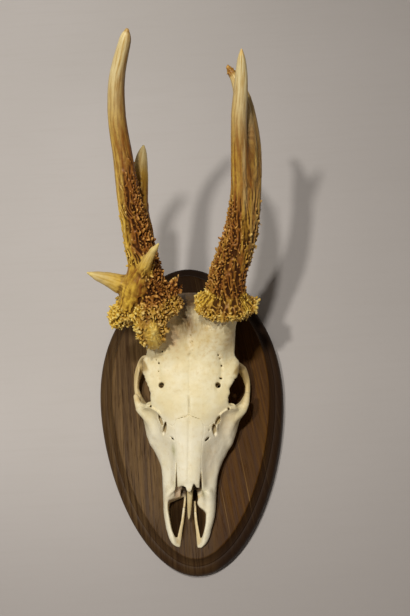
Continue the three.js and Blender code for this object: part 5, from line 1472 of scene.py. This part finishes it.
def oak_material():
    m = Nodes("stained_oak")
    u, v, right, rim = m.attr("gu"), m.attr("gv"), m.attr("right"), m.attr("rim")
    line = m.noise(m.vector(m.math("MULTIPLY", u, 0.42), m.math("MULTIPLY", v, 0.010), 0.0), 5, 0.62)
    band = m.noise(m.vector(m.math("MULTIPLY", u, 0.075), m.math("MULTIPLY", v, 0.006), 3.0), 3, 0.5)
    pore = m.noise(m.vector(m.math("MULTIPLY", u, 1.5), m.math("MULTIPLY", v, 0.050), 7.0), 3, 0.6)
    fleck = m.noise(m.vector(m.math("MULTIPLY", u, 0.9), m.math("MULTIPLY", v, 0.045), 11.0), 4, 0.6)
    golden_grain_sheen = m.noise(m.vector(m.math("MULTIPLY", u, 0.55), m.math("MULTIPLY", v, 0.006), 19.0), 2, 0.5)
    # two tones of stained oak: the half on the animal's right is lighter and greyer as painted sheen, the half on its
    # left darker as painted shade of the skull and antlers
    a = m.mix(m.ramp(line, 0.35, 0.66), (0.072, 0.036, 0.0110), (0.190, 0.112, 0.043))
    b = m.mix(m.ramp(line, 0.36, 0.72), (0.060, 0.0215, 0.0020), (0.118, 0.050, 0.0060))
    c = m.mix(right, a, b)
    c = m.mix(m.ramp(band, 0.35, 0.7, 0, 0.40), c, (0.034, 0.014, 0.004))
    streak = m.math("MULTIPLY", m.ramp(pore, 0.56, 0.68, 0, 0.8), m.ramp(right, 0, 1, 1.0, 0.22))
    c = m.mix(streak, c, (0.012, 0.005, 0.002))
    c = m.mix(m.math("MULTIPLY", m.ramp(fleck, 0.58, 0.74, 0, 0.38), m.ramp(right, 0, 1, 1.0, 0.25)), c, (0.22, 0.140, 0.066))
    # golden grain lines on the animal's left half, lightened as painted sheen
    c = m.mix(m.math("MULTIPLY", m.ramp(golden_grain_sheen, 0.63, 0.70, 0, 0.60), right), c, (0.27, 0.150, 0.045))
    # painted shade: the face darkens towards the top, between the antlers, where they shade it; it is also darker
    # towards the bottom
    c = m.mix(m.ramp(v, 40.0, 105.0, 0, 0.74), c, (0.016, 0.007, 0.002))
    c = m.mix(m.ramp(v, -60.0, -115.0, 0, 0.50), c, (0.030, 0.011, 0.003))
    # painted shadow of the skull on the board, from the under attribute
    c = m.mix(m.math("MULTIPLY", m.attr("under"), 0.84), c, (0.013, 0.006, 0.002))
    # the moulding is stained darker; darker still on the animal's left half as painted shade, lighter on its right as
    # painted sheen
    c = m.mix(m.math("MULTIPLY", rim, m.ramp(right, 0, 1, 0.35, 0.85)), c, (0.022, 0.0125, 0.008))
    bump = m.math("SUBTRACT", m.math("MULTIPLY", line, 0.6), m.ramp(pore, 0.54, 0.70))
    dull = m.math("MAXIMUM", m.ramp(line, 0.3, 0.7, 0.40, 0.54), m.ramp(m.attr("under"), 0.0, 0.7, 0.40, 0.95))
    return m.shader(c, dull, bump, 0.35, 0.0003, Specular_IOR_Level=0.07)


def plaster_material():
    m = Nodes("painted_plaster")
    big = m.noise(m.place((260, 260, 260)), 3, 0.5)
    fine = m.noise(m.place((5, 5, 5)), 4, 0.6)
    brush = m.noise(m.place((70, 70, 4)), 3, 0.6)
    c = m.mix(m.ramp(big, 0.3, 0.7), (0.548, 0.516, 0.492), (0.590, 0.556, 0.536))
    c = m.mix(m.ramp(brush, 0.45, 0.70, 0, 0.10), c, (0.47, 0.43, 0.39))
    co = m.node("ShaderNodeSeparateXYZ")
    m.tree.links.new(m.node("ShaderNodeTexCoord").outputs["Object"], co.inputs[0])
    # painted shade: the wall darkens towards the right and towards the bottom, where the lamps' light falls off
    c = m.mix(m.ramp(co.outputs[0], -0.10, 0.24, 0, 0.56), c, (0.28, 0.255, 0.242))
    c = m.mix(m.ramp(co.outputs[2], 0.04, -0.18, 0, 0.66), c, (0.28, 0.255, 0.242))
    c = m.mix(m.ramp(fine, 0.62, 0.80, 0, 0.15), c, (0.47, 0.41, 0.35))
    mat = m.shader(c, 0.75, fine, 0.12, 0.0006)
    p = [n for n in m.tree.nodes if n.type == "BSDF_PRINCIPLED"][0]
    clear = m.node("ShaderNodeBsdfTransparent")
    pick = m.node("ShaderNodeMixShader")
    m.tree.links.new(m.node("ShaderNodeNewGeometry").outputs["Backfacing"], pick.inputs[0])
    m.tree.links.new(p.outputs[0], pick.inputs[1])
    m.tree.links.new(clear.outputs[0], pick.inputs[2])
    m.tree.links.new(pick.outputs[0], m.out.inputs[0])
    return mat


# ================================================================== stage
def sheet(name, corners, n, material):
    a, b, c, d = (np.array(k, float) for k in corners)
    s = np.linspace(0, 1, n + 1)
    p = np.array([a + (b - a) * i + (d - a) * j for j in s for i in s])
    q = np.array([[j * (n + 1) + i, j * (n + 1) + i + 1, (j + 1) * (n + 1) + i + 1, (j + 1) * (n + 1) + i] for j in range(n) for i in range(n)])
    return mesh_object(name, p, q, None, material)


def build_stage():
    plaster = plaster_material()
    # the wall is left open behind the shield, well inside its outline, so that light reaches the shield's back
    n = 96
    hole = shield_outline(3.0, n) * 1e-3
    far = hole / np.linalg.norm(hole, axis=1, keepdims=True) * 4.0
    far = np.column_stack([np.clip(far[:, 0], -2.2, 2.2), np.clip(far[:, 1], -0.9, 1.6)])
    rings = [hole + (far - hole) * t for t in (0.0, 0.03, 0.1, 0.3, 1.0)]
    p = np.array([(x, 0.0006, z) for ring in rings for x, z in ring])
    q = [[i * n + j, i * n + (j + 1) % n, (i + 1) * n + (j + 1) % n, (i + 1) * n + j] for i in range(len(rings) - 1) for j in range(n)]
    a, c, e = (p[k] for k in q[n // 3][:3])
    if np.cross(c - a, e - a)[1] > 0:                       # its front faces the room
        q = [k[::-1] for k in q]
    wall = mesh_object("wall", p, np.array(q), None, plaster)
    floor = sheet("floor", [(-2.2, -3.2, -0.9), (2.2, -3.2, -0.9), (2.2, 0.0006, -0.9), (-2.2, 0.0006, -0.9)], 4, plaster)
    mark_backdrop(wall, floor)


def area(name, at, to, size, watts, colour):
    l = bpy.data.lights.new(name, "AREA")
    l.shape, l.size, l.energy, l.color = "DISK", size, watts, colour
    o = bpy.data.objects.new(name, l)
    o.location = at
    o.rotation_euler = (Vector(to) - Vector(at)).to_track_quat("-Z", "Y").to_euler()
    bpy.context.scene.collection.objects.link(o)


def build_light():
    area("key", (-0.482, -1.80, -0.133), (0.02, 0, 0.03), 0.10, 13.3, (1.0, 0.965, 0.905))
    area("second", (-0.16, -1.80, 0.115), (0.0, 0, 0.03), 0.11, 12.7, (1.0, 0.965, 0.915))
    area("rear", (0.55, 1.7, 0.75), (0.0, 0, 0.0), 0.5, 9.0, (1.0, 0.97, 0.93))     # reaches only the shield's back
    w = bpy.data.worlds.new("room")
    bpy.context.scene.world = w
    w.use_nodes = True
    bg = w.node_tree.nodes["Background"]
    bg.inputs[0].default_value = (1.0, 0.90, 0.78, 1.0)
    bg.inputs[1].default_value = 0.092


def build_camera():
    lift, pan, roll = math.radians(21.44), math.radians(1.28), math.radians(-2.93)
    f = Vector((-math.sin(pan) * math.cos(lift), math.cos(pan) * math.cos(lift), math.sin(lift)))
    r = Vector((math.cos(pan), math.sin(pan), 0))
    u = r.cross(f)
    r2, u2 = r * math.cos(roll) + u * math.sin(roll), -r * math.sin(roll) + u * math.cos(roll)
    cam = bpy.data.cameras.new("camera")
    cam.sensor_fit, cam.sensor_height, cam.lens, cam.clip_start, cam.clip_end = "VERTICAL", 36.0, 45.47, 0.01, 20.0
    o = bpy.data.objects.new("camera", cam)
    o.matrix_world = Matrix(((r2.x, u2.x, -f.x, 0.0280), (r2.y, u2.y, -f.y, -0.6093), (r2.z, u2.z, -f.z, -0.1491), (0, 0, 0, 1)))
    bpy.context.scene.collection.objects.link(o)
    bpy.context.scene.camera = o


bone = bone_material()
horn = horn_material()
skull_pieces(bone)
antler_pieces("left", horn)
antler_pieces("right", horn)
build_shield(oak_material())
build_stage()
build_light()
build_camera()
bpy.context.scene.view_settings.view_transform = "Standard"
print("pieces %d, faces %d, %.1f s" % (len(PIECES), sum(len(o.data.polygons) for o in PIECES), time.time() - T0))

as_list = lambda box: [list(map(float, v)) for v in box]
{"cad": as_list(CAD_BOX), "visual": as_list(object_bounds())}
